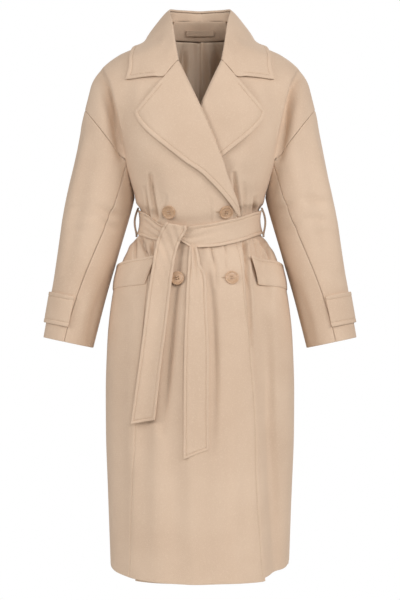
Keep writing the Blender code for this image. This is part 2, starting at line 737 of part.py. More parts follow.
def add_collar(fronts, backs):
    """The collar: its fall from the roll line out over the shoulders, and the stand inside."""
    columns = 12
    roll, edge = spline(ROLL_LINE, columns), spline(FALL_EDGE, columns)
    u = np.linspace(0, 1, columns)
    near_end = np.clip(1 - u * 2.2, 0, 1)[:, None] ** 2
    gap = np.array((0.0, 0.0, GORGE_GAP)) * near_end
    ahead = np.array((0.0, -1.0, 0.0))
    lift = np.array((0.0, 0.0, 1.0))
    front = np.clip(u / 0.25, 0, 1)[:, None]  # at the front end the roll lies flat
    outward = unit((edge - roll) * np.array((1.0, 1.0, 0.0)))
    shares = (0.0, 0.12, 0.23, 0.36, 0.52, 0.68, 0.84, 1.0)
    end = np.stack([np.interp(shares, (0, 0.36, 1), c) for c in zip(roll[0], NOTCH, edge[0])], axis=-1)
    rows = []
    for k, share in enumerate(shares):
        bend = (end[k] - mix(roll[0], edge[0], share)) * near_end
        over = np.exp(-(((u - 0.5) / 0.2) ** 2))[:, None] * math.sin(math.pi * share)
        bulge = FALL_BULGE * share / 0.2 * math.exp(1 - share / 0.2) + SHOULDER_BULGE * over
        rows.append(mix(roll, edge, share) + bend + gap + (lift + 0.6 * outward) * bulge * front)
    fall = push_clear(np.array(rows)[1:], coat_form, ON_PANEL + 0.0015)
    fall_in = fall + grid_normals(fall) * COLLAR_WALL
    roll = roll + gap
    shown = [roll + outward * a + lift * b for a, b in ((-0.0030, -0.0035), (-0.0022, -0.0006), (0.0, 0.0010))]
    hidden = [roll + outward * a + lift * b for a, b in ((-0.0006, -0.0036), (-0.0002, -0.0029), (0.0006, -0.0022))]
    flat = [roll + outward * a + ahead * b for a, b in ((-0.0030, -0.0006), (-0.0024, 0.0006), (-0.0010, 0.0012))]
    flat_in = [roll + outward * a + ahead * b for a, b in ((-0.0006, -0.0016), (0.0000, -0.0014), (0.0008, -0.0010))]
    shown = [mix(a, b, front) for a, b in zip(flat, shown)]
    hidden = [mix(a, b, front) for a, b in zip(flat_in, hidden)]
    outer, inner = np.concatenate([shown, fall]), np.concatenate([hidden, fall_in])
    for grid in (outer, inner):
        grid[:, -1, 0] = 0.0
    add_wall("collar_fall", both_sides(outer), both_sides(inner))

    start = 4
    seam, along = neck_line(fronts, backs)
    top = spline((shown[0] - lift * 0.0014)[start:], len(seam))
    top_in = spline((hidden[0] - lift * 0.0013)[start:], len(seam))
    out = unit(np.cross(top - seam, along))
    out = out * np.sign((out * seam * np.array((1.0, 1.0, 0.0))).sum(axis=-1, keepdims=True))
    share = np.linspace(0.0, 1.0, 4)[:, None, None]
    stand = mix(seam - out * WALL, top, share)
    stand_back = mix(seam, top_in, share)
    for grid in (stand, stand_back):
        grid[:, -1, 0] = 0.0
    add_wall("collar_stand", both_sides(stand), both_sides(stand_back))


INSIDE = WALL + 0.0075  # how deep the facing and the lining lie inside the back
INSIDE_TOP = WALL + 0.0036  # the same along the neck seam
FACING_LOW = -0.0115  # height of the seam between facing and lining


def back_spot(x, height):
    """The point of the coat straight behind places given as seen from the back."""
    x, height = np.broadcast_arrays(np.asarray(x, float), np.asarray(height, float))
    return reach_form(coat_form, vector(x, 0.0, height), vector(0.0 * x, 1.0, 0.0))


def add_inside():
    """What shows inside the neck: the neck facing, the hanger loop and the pleated lining."""
    angle = np.radians(np.linspace(-48, 48, 15))
    top = 0.020 - 0.012 * np.sin(angle) ** 2
    rows = []
    for share in np.linspace(0, 1, 4):
        height = mix(top, FACING_LOW, share)
        way = vector(np.sin(angle), np.cos(angle), 0.0)
        spot = reach_form(coat_form, vector(0.0, 0.0, height), way)
        rows.append(spot - normals_of(coat_form, spot) * mix(INSIDE_TOP, INSIDE, share))
    grid = np.array(rows)
    normals = normals_of(coat_form, grid)
    add_wall("neck_facing", grid, grid - normals * WALL)

    low, high = -0.400, FACING_LOW - 0.0006
    t = np.linspace(0, 1, 9)[:, None]
    x = np.linspace(-1, 1, 16)[None, :] * mix(0.070, 0.110, np.minimum(t * 2.5, 1.0))
    height = mix(high - 0.0 * x, low, t)
    spot = back_spot(x, height)
    normals = normals_of(coat_form, spot)
    pleat = 0.0030 * np.exp(-((x / 0.010) ** 2))
    level = INSIDE + 0.0006 + pleat
    grid = spot - normals * level[..., None]
    add_wall("back_lining", grid, grid - normals * THIN, LINING)

    x = np.linspace(-0.0295, 0.0295, 7)[None, :]
    t = np.linspace(0, 1, 3)[:, None]
    height = mix(0.009, -0.003, t) + 0.0 * x
    spot = back_spot(x, height)
    gap = 0.0003 + 0.0035 * np.clip(1 - (x / 0.0255) ** 2, 0, 1) ** 0.5 + 0.0 * t
    grid = spot - vector(0.0, 1.0, 0.0) * (1.05 * (INSIDE + WALL) + 0.0006 + gap)[..., None]
    add_wall("hanger_loop", grid, grid - np.array((0.0, 0.0022, 0.0)))


def band_grid(angles, heights, half, level):
    """A band round the body: points at each angle, from its top edge to its bottom edge."""
    share = np.linspace(1, -1, 4)[:, None]
    height = heights[None, :] + share * half[None, :]
    way = vector(np.sin(angles), -np.cos(angles), 0.0)[None, :] + 0.0 * height[..., None]
    start = vector(0.0, 0.0, heights)[None, :] + 0.0 * height[..., None]
    middle = reach_form(body_form, start, way)
    out = unit(way)
    rows = []
    for k in range(4):
        start_k = vector(0.0, 0.0, height[k])
        spot = reach_form(body_form, start_k, way[k])
        radius = np.maximum(np.linalg.norm(spot[:, :2], axis=1), np.linalg.norm(middle[k, :, :2], axis=1) - 0.001)
        place = out[k] * (radius + level)[:, None]
        place[:, 2] = height[k]
        rows.append(place)
    return np.array(rows)


BELT_LEVEL = 0.0030


# The loose stretches of the belt, row by row: height, left and right edge and how far the
# outer face lies in front of the coat.
STRIPS = {
    "belt_wrap": (
        (-0.4115, -0.0690, -0.0275, 0.0040),
        (-0.4155, -0.0706, -0.0263, 0.0095),
        (-0.4205, -0.0742, -0.0270, 0.0120),
        (-0.4320, -0.0815, -0.0315, 0.0132),
        (-0.4470, -0.0876, -0.0395, 0.0125),
    ),
    "belt_tail_over": (
        (-0.4476, -0.0878, -0.0398, 0.0125),
        (-0.4640, -0.0915, -0.0460, 0.0125),
        (-0.4820, -0.0941, -0.0500, 0.0120),
        (-0.4980, -0.0966, -0.0524, 0.0120),
        (-0.5250, -0.1006, -0.0566, 0.0105),
        (-0.5660, -0.1067, -0.0616, 0.0060),
        (-0.6260, -0.1143, -0.0689, 0.0050),
        (-0.6860, -0.1220, -0.0764, 0.0056),
        (-0.7460, -0.1300, -0.0830, 0.0062),
        (-0.8130, -0.1400, -0.0905, 0.0054),
    ),
    "belt_tail_under": (
        (-0.4660, -0.0230, -0.0046, 0.0090),
        (-0.4800, -0.0235, -0.0010, 0.0085),
        (-0.4970, -0.0240, 0.0020, 0.0070),
        (-0.5200, -0.0262, 0.0119, 0.0065),
        (-0.5660, -0.0285, 0.0139, 0.0050),
        (-0.6550, -0.0318, 0.0179, 0.0040),
        (-0.7400, -0.0330, 0.0179, 0.0040),
        (-0.8200, -0.0335, 0.0179, 0.0040),
        (-0.8765, -0.0339, 0.0179, 0.0040),
    ),
}


def add_belt():
    """The tie belt: the band round the waist, the wrap of its knot and two tails."""
    degrees = np.concatenate([np.linspace(-13, 60, 11), np.linspace(70, 290, 17), np.linspace(300, 337, 7)])
    angles = np.radians(degrees)
    heights = belt_line((angles + np.pi) % (2 * np.pi) - np.pi)
    near = smooth(24, -13, degrees) + smooth(304, 325, degrees)
    half = BELT_WIDTH / 2 * (1 - 0.36 * near)
    outer = band_grid(angles, heights, half, BELT_LEVEL + BELT_WALL)
    inner = band_grid(angles, heights, half, BELT_LEVEL)
    add_wall("belt_round", outer, inner)

    for name, slant in (("belt_wrap", 0.0), ("belt_tail_over", 0.010), ("belt_tail_under", 0.020)):
        add_strip(name, STRIPS[name], 6, slant)


def add_strip(name, rows, columns, slant):
    """A strip of the belt in front of the coat, from rows of height, left, right and level."""
    grid = []
    for number, (height, left, right, level) in enumerate(rows):
        x = np.linspace(left, right, columns)
        last = number == len(rows) - 1
        z = height + (slant * (np.linspace(-0.5, 0.5, columns)) if last else 0.0 * x)
        spot = front_spot(coat_form, x, z)
        smooth_y = mix(spot[:, 1], np.minimum(spot[:, 1], spot[:, 1].mean()), 0.5)
        grid.append(vector(x, smooth_y - level, z))
    grid = np.array(grid)
    add_wall(name, grid, grid + np.array((0.0, BELT_WALL, 0.0)))


# The angle round the body at which each welt starts, at its top and at its bottom.
POCKET_START = {"right": (38.0, 43.0), "left": (43.5, 48.5)}


def add_pockets():
    """Slanted welts over the pocket mouths, from the front round to the side."""
    for side, word in ((RIGHT, "right"), (LEFT, "left")):
        body = mirrored(body_form, side)
        q = np.linspace(0, 1, 9)[None, :]
        t = np.linspace(0, 1, 4)[:, None]
        start = POCKET_START[word]
        angle = np.radians(mix(mix(*start, t), 99.0, q))
        height = mix(mix(-0.4787, -0.5020, q), mix(-0.5355, -0.5500, q), t)
        way = vector(np.sin(angle), -np.cos(angle), 0.0)
        spot = reach_form(body, vector(0.0, 0.0, height), way)
        normals = normals_of(body, spot)
        level = 0.0012 + 0.0032 + 0.0036 * (1 - t) + 0.0 * q
        add_sheet(f"pocket_welt_{word}", spot + normals * level[..., None], side, 0.0032, normals=normals)


def add_cuff_tabs():
    """Wide tabs from the front sleeve seam round the outside to the back one."""
    for side, word in ((RIGHT, "right"), (LEFT, "left")):
        angle = np.radians(np.linspace(2.0, 180.0, 15))[None, :]
        along = mix(0.432, 0.497, np.linspace(0, 1, 4))[:, None] + 0.0 * angle
        angle = angle + 0.0 * along
        level = LAYER + 0.0042
        add_wall_between_levels(f"cuff_tab_{word}", along, angle, level, 0.0038, side)


def add_wall_between_levels(name, along, angle, level, wall, side):
    """A wall on the arm tube between two distances from it."""
    turn = np.array((side, 1.0, 1.0))
    add_wall(name, arm_point(along, angle, level) * turn, arm_point(along, angle, level - wall) * turn)


def add_belt_loops():
    """Loops at the side seams that the belt runs through, bowed off it."""
    for side, word in ((RIGHT, "right"), (LEFT, "left")):
        height = np.linspace(-0.3690, -0.4400, 11)[:, None]
        seat = BODY.at("half_width", height) + 0.0014
        t = np.linspace(0, 1, 11)[:, None]
        bow = np.maximum(seat, mix(seat, 0.1352, np.sin(np.pi * t) ** 0.30))
        y = np.linspace(-0.006, 0.006, 3)[None, :]
        inner = vector(bow + 0.0 * y, y + 0.0 * bow, height + 0.0 * y)
        add_wall(
            f"belt_loop_{word}",
            (inner + np.array((0.0034, 0.0, 0.0))) * np.array((side, 1.0, 1.0)),
            inner * np.array((side, 1.0, 1.0)),
        )


# Each button's place as seen from the front, and its seat's distance from the coat's form.
BUTTONS = {
    "button_upper_right": (-0.0632, -0.3893, 0.0003),
    "button_upper_left": (0.0530, -0.3890, 0.0014),
    "button_lower_right": (-0.0457, -0.5230, 0.0003),
    "button_lower_left": (0.0644, -0.5217, 0.0003),
}


def add_buttons():
    """Four-hole buttons with a raised rim, flat on the right front."""
    sides = 16
    profile = (
        # share of the radius, share of the thickness
        (0.30, 0.00), (0.86, 0.00), (1.00, 0.30), (0.99, 0.72), (0.90, 1.00), (0.74, 0.96), (0.60, 0.62), (0.30, 0.58),
    )
    for name, (x, z, seat) in BUTTONS.items():
        spot = front_spot(coat_form, x, z)
        out = normals_of(coat_form, spot)
        across = unit(np.cross((0.0, 0.0, 1.0), out))
        up = np.cross(out, across)
        base = spot + out * seat
        points, faces = [], []
        for share, lift in profile:
            for k in range(sides):
                turn = 2 * math.pi * k / sides
                radius = BUTTON_WIDTH / 2 * share
                spoke = across * math.cos(turn) + up * math.sin(turn)
                points.append(base + spoke * radius + out * lift * BUTTON_WALL)
        rings = len(profile)
        for i in range(rings - 1):
            for k in range(sides):
                a, b = i * sides + k, i * sides + (k + 1) % sides
                faces.append((a, b, b + sides, a + sides))
        bottom, top = len(points), len(points) + 1
        points += [base, base + out * 0.58 * BUTTON_WALL]
        for k in range(sides):
            a, b = k, (k + 1) % sides
            faces.append((b, a, bottom))
            faces.append((a + (rings - 1) * sides, b + (rings - 1) * sides, top))
        add_object(name, np.array(points), faces, HORN)


def main():
    for old in list(bpy.data.objects):
        bpy.data.objects.remove(old, do_unlink=True)
    fronts = add_fronts()
    backs = add_back()
    add_sleeves(fronts, backs)
    add_lapels()
    add_collar(fronts, backs)
    add_inside()
    add_belt()
    add_pockets()
    add_cuff_tabs()
    add_belt_loops()
    add_buttons()


if __name__ == "__main__":
    main()
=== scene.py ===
"""A long double-breasted wrap coat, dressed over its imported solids.

Metres, +Z up. The front faces -Y and +X is the wearer's left. Every cloth piece is a thin
shell on the same form as its solid. It starts from the solid's own coarse grid, which is then
drawn finer, given rolled edges, sunk seams, topstitching and the creases of the real cloth.
"""

from __future__ import annotations

import logging
import math
from collections.abc import Callable, Sequence
from dataclasses import dataclass, field
from enum import Enum

import bpy
import numpy as np
from mathutils import Matrix, Vector

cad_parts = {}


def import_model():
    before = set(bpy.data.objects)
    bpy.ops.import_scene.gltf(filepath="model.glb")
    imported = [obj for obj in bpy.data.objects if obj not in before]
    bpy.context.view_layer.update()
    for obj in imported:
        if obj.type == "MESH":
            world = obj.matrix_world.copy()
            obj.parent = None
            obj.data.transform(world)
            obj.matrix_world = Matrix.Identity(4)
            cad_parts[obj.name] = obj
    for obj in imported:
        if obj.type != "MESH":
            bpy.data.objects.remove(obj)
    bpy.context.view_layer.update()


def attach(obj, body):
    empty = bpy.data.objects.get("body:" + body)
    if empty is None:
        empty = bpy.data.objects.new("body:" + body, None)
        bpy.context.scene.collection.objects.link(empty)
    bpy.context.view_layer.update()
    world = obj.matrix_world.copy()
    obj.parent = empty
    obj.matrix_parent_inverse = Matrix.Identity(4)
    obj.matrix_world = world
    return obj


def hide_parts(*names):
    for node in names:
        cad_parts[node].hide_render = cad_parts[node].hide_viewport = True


LOG = logging.getLogger("coat")
Array = np.ndarray
Numbers = Array | float
Socket = bpy.types.NodeSocket
FormFunction = Callable[[Array], Array]

# Driving sizes, as in the solids
WALL = 0.0024  # coat cloth
THIN = 0.001  # lining cloth
SEAM = 0.0003  # half of the gap between two pieces at a seam
LAYER = 0.0008  # gap between two layers that lie on each other
UNDERARM = -0.35  # height where body and sleeve part
VALLEY = -0.282  # height where the armhole seam leaves the fold in front of the arm
LAPEL_BREAK = -0.403  # height where the roll line meets the front edge
LAPEL_TOP = -0.08  # height where the roll line meets the neck seam
NECK_SIDE = (0.078, 0.012)  # side neck point: distance from the centre, height
BELT_WIDTH = 0.05
BELT_WALL = 0.0032
BUTTON_WIDTH = 0.028
BUTTON_WALL = 0.0042
CUFF = 0.528  # from the shoulder ball to the sleeve hem, along the arm
LEVEL_PART = np.array((1.0, 1.0, 0.0))  # what leaves the height out of a way


class Side(Enum):
    """The wearer's sides, by the sign of their X."""

    RIGHT = -1
    LEFT = 1

    @property
    def word(self) -> str:
        """The side as it stands in the names of nodes."""
        return self.name.lower()

    @property
    def turn(self) -> Array:
        """What points worked out at +X are multiplied by to lie on this side."""
        return np.array((float(self.value), 1.0, 1.0))


class Face(Enum):
    """The front and the back of the body, by the sign of their Y."""

    FRONT = -1
    BACK = 1


class Edge(Enum):
    """How an edge of a cloth piece is made up."""

    SEAM = "sewn to the next piece"
    FREE = "turned or bound, so it is seen from outside"
    HIDDEN = "lies under another piece"


# ---------------------------------------------------------------- small helpers


def smooth(low: float, high: float, value: Numbers) -> Array:
    """An even curve from 0 at low to 1 at high, read at each value."""
    t = np.clip((value - low) / (high - low), 0.0, 1.0)
    return t * t * (3 - 2 * t)


def unit(vectors: Array) -> Array:
    """Vectors brought to length 1."""
    return vectors / np.maximum(np.linalg.norm(vectors, axis=-1, keepdims=True), 1e-12)


def vector(x: Numbers, y: Numbers, z: Numbers) -> Array:
    """Three arrays or numbers joined into points."""
    return np.stack(np.broadcast_arrays(x, y, z), axis=-1).astype(float)


def mix(a: Numbers, b: Numbers, t: Numbers) -> Numbers:
    """The value a share t of the way from a to b."""
    return a + (b - a) * t


def metres(*rows: Sequence[float]) -> tuple[tuple[float, ...], ...]:
    """Rows of millimetres brought to metres."""
    return tuple(tuple(value / 1000 for value in row) for row in rows)


class Table:
    """Rows of sizes with named columns, read smoothly between rows by their first column."""

    def __init__(self, columns: Sequence[str], rows: Sequence[Sequence[float]]) -> None:
        """Sorts the rows and works out the slopes.

        Args:
            columns: the columns' names; the first is the one that is looked up.
            rows: one row of sizes each.
        """
        ordered = sorted(rows)
        self.columns = columns
        self.where = np.array([row[0] for row in ordered])
        self.values = np.array([row[1:] for row in ordered], float)
        step = np.diff(self.where)[:, None]
        slope = np.diff(self.values, axis=0) / step
        middle = np.where(slope[1:] * slope[:-1] > 0, 2 * slope[1:] * slope[:-1], 0.0)
        middle = middle / np.where(np.abs(slope[1:] + slope[:-1]) > 1e-9, slope[1:] + slope[:-1], 1.0)
        self.slope = np.concatenate([slope[:1], middle, slope[-1:]])

    def at(self, column: str, where: Numbers) -> Array:
        """The column's value at each place, held level past the table's ends.

        Args:
            column: the column's name.
            where: places in the first column.

        Returns:
            The values there.
        """
        k = self.columns.index(column) - 1
        x = np.clip(np.asarray(where, float), self.where[0], self.where[-1])
        i = np.clip(np.searchsorted(self.where, x) - 1, 0, len(self.where) - 2)
        h = self.where[i + 1] - self.where[i]
        t = (x - self.where[i]) / h
        low, high = self.values[i, k], self.values[i + 1, k]
        curve = (2 * t**3 - 3 * t**2 + 1) * low + (3 * t**2 - 2 * t**3) * high
        return curve + h * ((t**3 - 2 * t**2 + t) * self.slope[i, k] + (t**3 - t**2) * self.slope[i + 1, k])


def spline(points: Sequence[Sequence[float]] | Array, count: int) -> Array:
    """Points evenly spread along a smooth curve through a few points."""
    points = np.array(points, float)
    chord = np.concatenate([[0], np.cumsum(np.linalg.norm(np.diff(points, axis=0), axis=1))])
    columns = ("at", "x", "y", "z")
    table = Table(columns, [(c, *p) for c, p in zip(chord, points)])
    where = np.linspace(0, chord[-1], count)
    return np.stack([table.at(name, where) for name in columns[1:]], axis=-1)


# ---------------------------------------------------------------- sizes and forms

# The arm: a straight tube that starts in a ball at the shoulder.
SHOULDER = np.array((0.1655, 0.006, -0.14))
ARM_AXIS = np.array((0.208, -0.035, -0.9775))
ARM_AXIS = ARM_AXIS / np.linalg.norm(ARM_AXIS)
ARM_BACK = np.array((0.0, 1.0, 0.0)) - ARM_AXIS * ARM_AXIS[1]
ARM_BACK = ARM_BACK / np.linalg.norm(ARM_BACK)
ARM_OUT = np.cross(ARM_BACK, ARM_AXIS)
ARM_OUT = ARM_OUT * np.sign(ARM_OUT[0])
BALL = 0.072
ARM_RADIUS = 0.067  # about its middle radius, by which creases are placed round it

BODY = Table(
    ("height", "half_width", "front", "back", "squareness"),
    (
        (0.06, 0.046, 0.036, 0.052, 2.0),
        (0.03, 0.066, 0.05, 0.07, 2.0),
        (0.012, 0.078, 0.06, 0.08, 2.0),
        (-0.021, 0.106, 0.078, 0.096, 2.0),
        (-0.042, 0.141, 0.092, 0.106, 2.0),
        (-0.056, 0.163, 0.101, 0.112, 2.1),
        (-0.074, 0.173, 0.109, 0.118, 2.2),
        (-0.105, 0.176, 0.118, 0.124, 2.5),
        (-0.15, 0.173, 0.128, 0.129, 2.8),
        (-0.21, 0.166, 0.137, 0.131, 3.0),
        (-0.28, 0.156, 0.141, 0.129, 3.0),
        (-0.32, 0.146, 0.137, 0.124, 2.9),
        (-0.35, 0.1365, 0.131, 0.119, 2.7),
        (-0.364, 0.1335, 0.127, 0.116, 2.6),
        (-0.378, 0.124, 0.119, 0.111, 2.5),
        (-0.4, 0.1215, 0.116, 0.108, 2.4),
        (-0.426, 0.126, 0.117, 0.11, 2.4),
        (-0.457, 0.149, 0.128, 0.122, 2.4),
        (-0.49, 0.164, 0.137, 0.133, 2.4),
        (-0.56, 0.184, 0.15, 0.148, 2.4),
        (-0.653, 0.194, 0.158, 0.158, 2.3),
        (-0.76, 0.1975, 0.162, 0.164, 2.3),
        (-0.84, 0.197, 0.164, 0.167, 2.3),
        (-0.958, 0.193, 0.165, 0.168, 2.3),
        (-1.14, 0.1865, 0.166, 0.168, 2.3),
    ),
)

ARM = Table(
    ("along", "half_width", "half_depth"),
    (
        (0.0, 0.067, 0.078),
        (0.1, 0.07, 0.08),
        (0.22, 0.0705, 0.079),
        (0.32, 0.0645, 0.073),
        (0.42, 0.0575, 0.066),
        (0.56, 0.052, 0.06),
    ),
)

# The edge of a front, as seen from the front: how far it lies past the centre at each height.
# Above the break it is the roll line, below it the edge that laps over.
FRONT_EDGE = Table(
    ("height", "past_centre"),
    (
        (LAPEL_TOP, -0.0455),
        (-0.133, -0.0218),
        (-0.186, 0.0016),
        (-0.278, 0.0385),
        (-0.33, 0.0552),
        (-0.373, 0.0712),
        (LAPEL_BREAK, 0.0765),
        (-0.448, 0.0775),
        (-0.494, 0.088),
        (-0.587, 0.0965),
        (-0.649, 0.104),
        (-0.777, 0.114),
        (-0.933, 0.123),
        (-1.14, 0.137),
    ),
)

# The lapel's outer edge: how far it lies past the centre at each height (negative: its own side).
LAPEL_EDGE = Table(
    ("height", "past_centre"),
    (
        (-0.115, -0.0734),
        (-0.118, -0.0745),
        (-0.184, -0.131),
        (-0.196, -0.127),
        (-0.287, -0.0325),
        (-0.308, -0.001),
        (-0.36, 0.05),
        (-0.381, 0.0655),
        (-0.396, 0.0755),
    ),
)

# The seam down the right front's skirt, beside which its side panel begins.
SIDE_SEAM = Table(
    ("height", "from_centre"),
    ((-0.5, 0.104), (-0.575, 0.109), (-0.84, 0.1287), (-1.14, 0.141)),
)

# The belt's middle round the waist: it is lowest at the knot.
BELT_SIDE = -0.4035
WAIST = -0.43
WAIST_REACH = 0.085  # how far above and below the waist the cloth still follows the belt
BELT_LINE = Table(
    ("degrees", "height"),
    (
        (-180, -0.4),
        (-90, BELT_SIDE),
        (-60, -0.412),
        (-35, -0.432),
        (-15, -0.4395),
        (10, -0.436),
        (35, -0.425),
        (60, -0.411),
        (90, BELT_SIDE),
        (180, -0.4),
    ),
)

# Folds: where they start and end (height and distance from the centre), on which face,
# and how wide and deep they are. Ridges have a negative depth.
FOLDS = (
    (-1, -0.3, -0.395, -0.096, -0.086, 0.017, 0.0055),
    (-1, -0.28, -0.395, 0.102, 0.088, 0.017, 0.0055),
    (-1, -0.425, -0.56, -0.1, -0.122, 0.018, 0.006),
    (-1, -0.425, -0.58, 0.112, 0.136, 0.018, 0.006),
    (-1, -0.44, -1.14, 0.124, 0.156, 0.02, 0.011),
    (-1, -0.44, -0.9, -0.064, -0.122, 0.02, 0.006),
    (-1, -0.47, -1.14, 0.02, 0.03, 0.03, 0.0045),
    (1, -0.425, -1.14, 0.06, 0.085, 0.026, 0.008),
    (1, -0.425, -1.14, -0.066, -0.09, 0.026, 0.008),
    (1, -0.425, -0.8, 0.004, 0.01, 0.02, 0.005),
    (1, -0.27, -0.395, 0.055, 0.045, 0.022, 0.005),
    (1, -0.26, -0.395, -0.06, -0.048, 0.022, 0.005),
)


def body_folds(points: Array) -> Array:
    """How far the main folds push the cloth in at each point."""
    x, y, z = points[..., 0], points[..., 1], points[..., 2]
    push = np.zeros(x.shape)
    for face, top, bottom, x_top, x_bottom, width, depth in FOLDS:
        t = np.clip((top - z) / (top - bottom), 0.0, 1.0)
        across = (x - (x_top + (x_bottom - x_top) * t)) / width
        ends = smooth(bottom - 0.02, bottom + 0.05, z) if bottom > -1.1 else 1.0
        ends = ends * smooth(top + 0.02, top - 0.04, z) * (y * face > 0.02)
        push += depth * ends * np.exp(-across * across)
    return push


def belt_line(angle: Array) -> Array:
    """The height of the belt's middle at an angle round the waist, from the front towards +X."""
    return BELT_LINE.at("height", np.degrees(angle))


def body_form(points: Array) -> Array:
    """How far each point lies outside the body tube, measured from its axis; negative inside."""
    x, y, z = points[..., 0], points[..., 1], points[..., 2]
    near_belt = np.exp(-(((z - WAIST) / WAIST_REACH) ** 2))
    z = z - (belt_line(np.arctan2(x, -y)) - BELT_SIDE) * near_belt
    deep = np.where(y < 0, BODY.at("front", z), BODY.at("back", z))
    power = BODY.at("squareness", z)
    reach = (np.abs(x / BODY.at("half_width", z)) ** power + np.abs(y / deep) ** power) ** (1 / power)
    return (np.hypot(x, y) + 1e-6) * (1 - 1 / np.maximum(reach, 1e-6)) + body_folds(points)


def arm_parts(points: Array, side: Side) -> tuple[Array, Array, Array]:
    """Each point's place along, out from and behind the axis of this side's arm."""
    relative = points * side.turn - SHOULDER
    return relative @ ARM_AXIS, relative @ ARM_OUT, relative @ ARM_BACK


def arm_form(points: Array, side: Side) -> Array:
    """How far each point lies outside this side's arm tube; negative inside."""
    along, out, behind = arm_parts(points, side)
    ball = np.minimum(along, 0.0)
    wide, deep = ARM.at("half_width", along), ARM.at("half_depth", along)
    reach = np.sqrt((out / wide) ** 2 + (behind / deep) ** 2 + (ball / BALL) ** 2)
    return np.sqrt(out**2 + behind**2 + ball**2) * (1 - 1 / np.maximum(reach, 1e-6))


def coat_form(points: Array) -> Array:
    """The body and both arms run together: widely on the shoulders, sharply under the arms."""
    body = body_form(points)
    arm = np.minimum(arm_form(points, Side.RIGHT), arm_form(points, Side.LEFT))
    blend = 0.008 + 0.036 * smooth(-0.27, -0.1, points[..., 2])
    share = np.clip(0.5 + 0.5 * (arm - body) / blend, 0.0, 1.0)
    return arm * (1 - share) + body * share - blend * share * (1 - share)


LONGEST_RAY = 0.3
HALVINGS = 22  # how often the step in which a ray comes out is halved


def mirrored(form: FormFunction, side: Side) -> FormFunction:
    """The form as seen by a piece that is worked out at +X."""
    return lambda points: form(points * side.turn)


def reach_form(form: FormFunction, origins: Array, directions: Array) -> Array:
    """Where a ray from each origin first comes out of a form.

    Args:
        form: distance outside the form, for points.
        origins: the rays' starts, inside the form.
        directions: the rays' ways, of length 1.

    Returns:
        One point of the form for each ray.
    """
    marks = np.linspace(0.0, LONGEST_RAY, 150)
    points = origins[..., None, :] + directions[..., None, :] * marks[:, None]
    outside = form(points) >= 0
    outside[..., -1] = True
    first = np.maximum(outside.argmax(axis=-1), 1)
    low, high = marks[first - 1], marks[first]
    for _ in range(HALVINGS):
        middle = (low + high) / 2
        out = form(origins + directions * middle[..., None]) >= 0
        low, high = np.where(out, low, middle), np.where(out, middle, high)
    return origins + directions * high[..., None]


def normals_of(form: FormFunction, points: Array, step: float = 0.0012) -> Array:
    """The way out of the form at each point."""
    slopes = [form(points + step * axis) - form(points - step * axis) for axis in np.eye(3)]
    return unit(np.stack(slopes, axis=-1))


def onto(points: Array, form: FormFunction) -> Array:
    """Points near a form moved onto it."""
    step = 0.0005
    for _ in range(3):
        slopes = [form(points + a) - form(points - a) for a in step * np.eye(3)]
        out = np.stack(slopes, axis=-1) / (2 * step)
        points = points - out * (form(points) / np.maximum((out**2).sum(axis=-1), 0.1))[..., None]
    return points


def push_clear(points: Array, form: FormFunction, level: float) -> Array:
    """Moves the points that lie less than level outside the form out to that level."""
    rounds = 6
    share = 0.8  # of what is missing, in each round
    low = form(points) < level
    for _ in range(rounds):
        short = np.where(low, share * (level - form(points)), 0.0)
        points = points + normals_of(form, points) * short[..., None]
    return points


def front_spot(form: FormFunction, x: Numbers, height: Numbers) -> Array:
    """The point of a form straight in front of places given as seen from the front."""
    x, height = np.broadcast_arrays(np.asarray(x, float), np.asarray(height, float))
    return reach_form(form, vector(x, 0.0, height), vector(0.0 * x, -1.0, 0.0))


def back_spot(x: Numbers, height: Numbers) -> Array:
    """The point of the coat straight behind places given as seen from the back."""
    x, height = np.broadcast_arrays(np.asarray(x, float), np.asarray(height, float))
    return reach_form(coat_form, vector(x, 0.0, height), vector(0.0 * x, 1.0, 0.0))


# ---------------------------------------------------------------- grids of the body panels

LOW_ROWS = (
    *(-0.35, -0.364, -0.378, -0.392, -0.408, -0.424, -0.44, -0.458, -0.482),
    *(-0.52, -0.575, -0.645, -0.725, -0.815, -0.915, -1.015, -1.114),
)
HEM = LOW_ROWS[-1]
VALLEY_ROWS = 5
TOP_STEPS = (0.14, 0.28, 0.42, 0.56, 0.67, 0.75, 0.84, 0.92, 1.0)
RING_START = len(LOW_ROWS) - 1  # the panel row that ends at the underarm
SIDE_SEAM_ROW = 7  # the panel row, under the pocket, where the side panel ends
SIDE_SEAM_COLUMN = 10  # the front's column where it starts
COLUMNS = {Face.FRONT: 18, Face.BACK: 13}
HEM_DROP = {Face.FRONT: 0.0225, Face.BACK: 0.01}  # how much lower the hem hangs in the middle
RELAXING = 40  # rounds of spreading the upper points of a panel
NECK_SHARE = 4 / 12  # the part of half a back's top edge that is neckline
SINK_LAYER = WALL + 0.0026  # how deep the left front lies under the right one
LAPEL_WALL = 0.003
ON_PANEL = 0.0014 + LAPEL_WALL  # outer face of a lapel or collar above the coat
UNDER_LAPEL = 0.001  # more room under the left lapel, whose front sinks in beside it


def valley_angle(height: float, face: Face) -> float:
    """The angle round the body, from the front or the back, where it goes behind the arm."""
    angle = np.radians(np.linspace(50, 90, 161))
    way = vector(np.sin(angle), face.value * np.cos(angle), 0.0)
    spot = reach_form(body_form, vector(0.0, 0.0, height + 0.0 * angle), way)
    behind = arm_form(spot, Side.LEFT) < 0
    behind[-1] = True
    return float(angle[behind.argmax()])


def hem_drop(angle: Array, drop: float) -> Array:
    """How far the hem lies below its side, at an angle from the front or the back."""
    return drop * np.clip(np.cos(np.maximum(angle, 0.2 * angle)), 0, 1) ** 0.7


def edge_angle(height: float) -> float:
    """The angle round the body of a front's edge, negative past the centre."""
    past = float(FRONT_EDGE.at("past_centre", height))
    return math.atan2(-past, -float(front_spot(body_form, -past, height)[..., 1]))


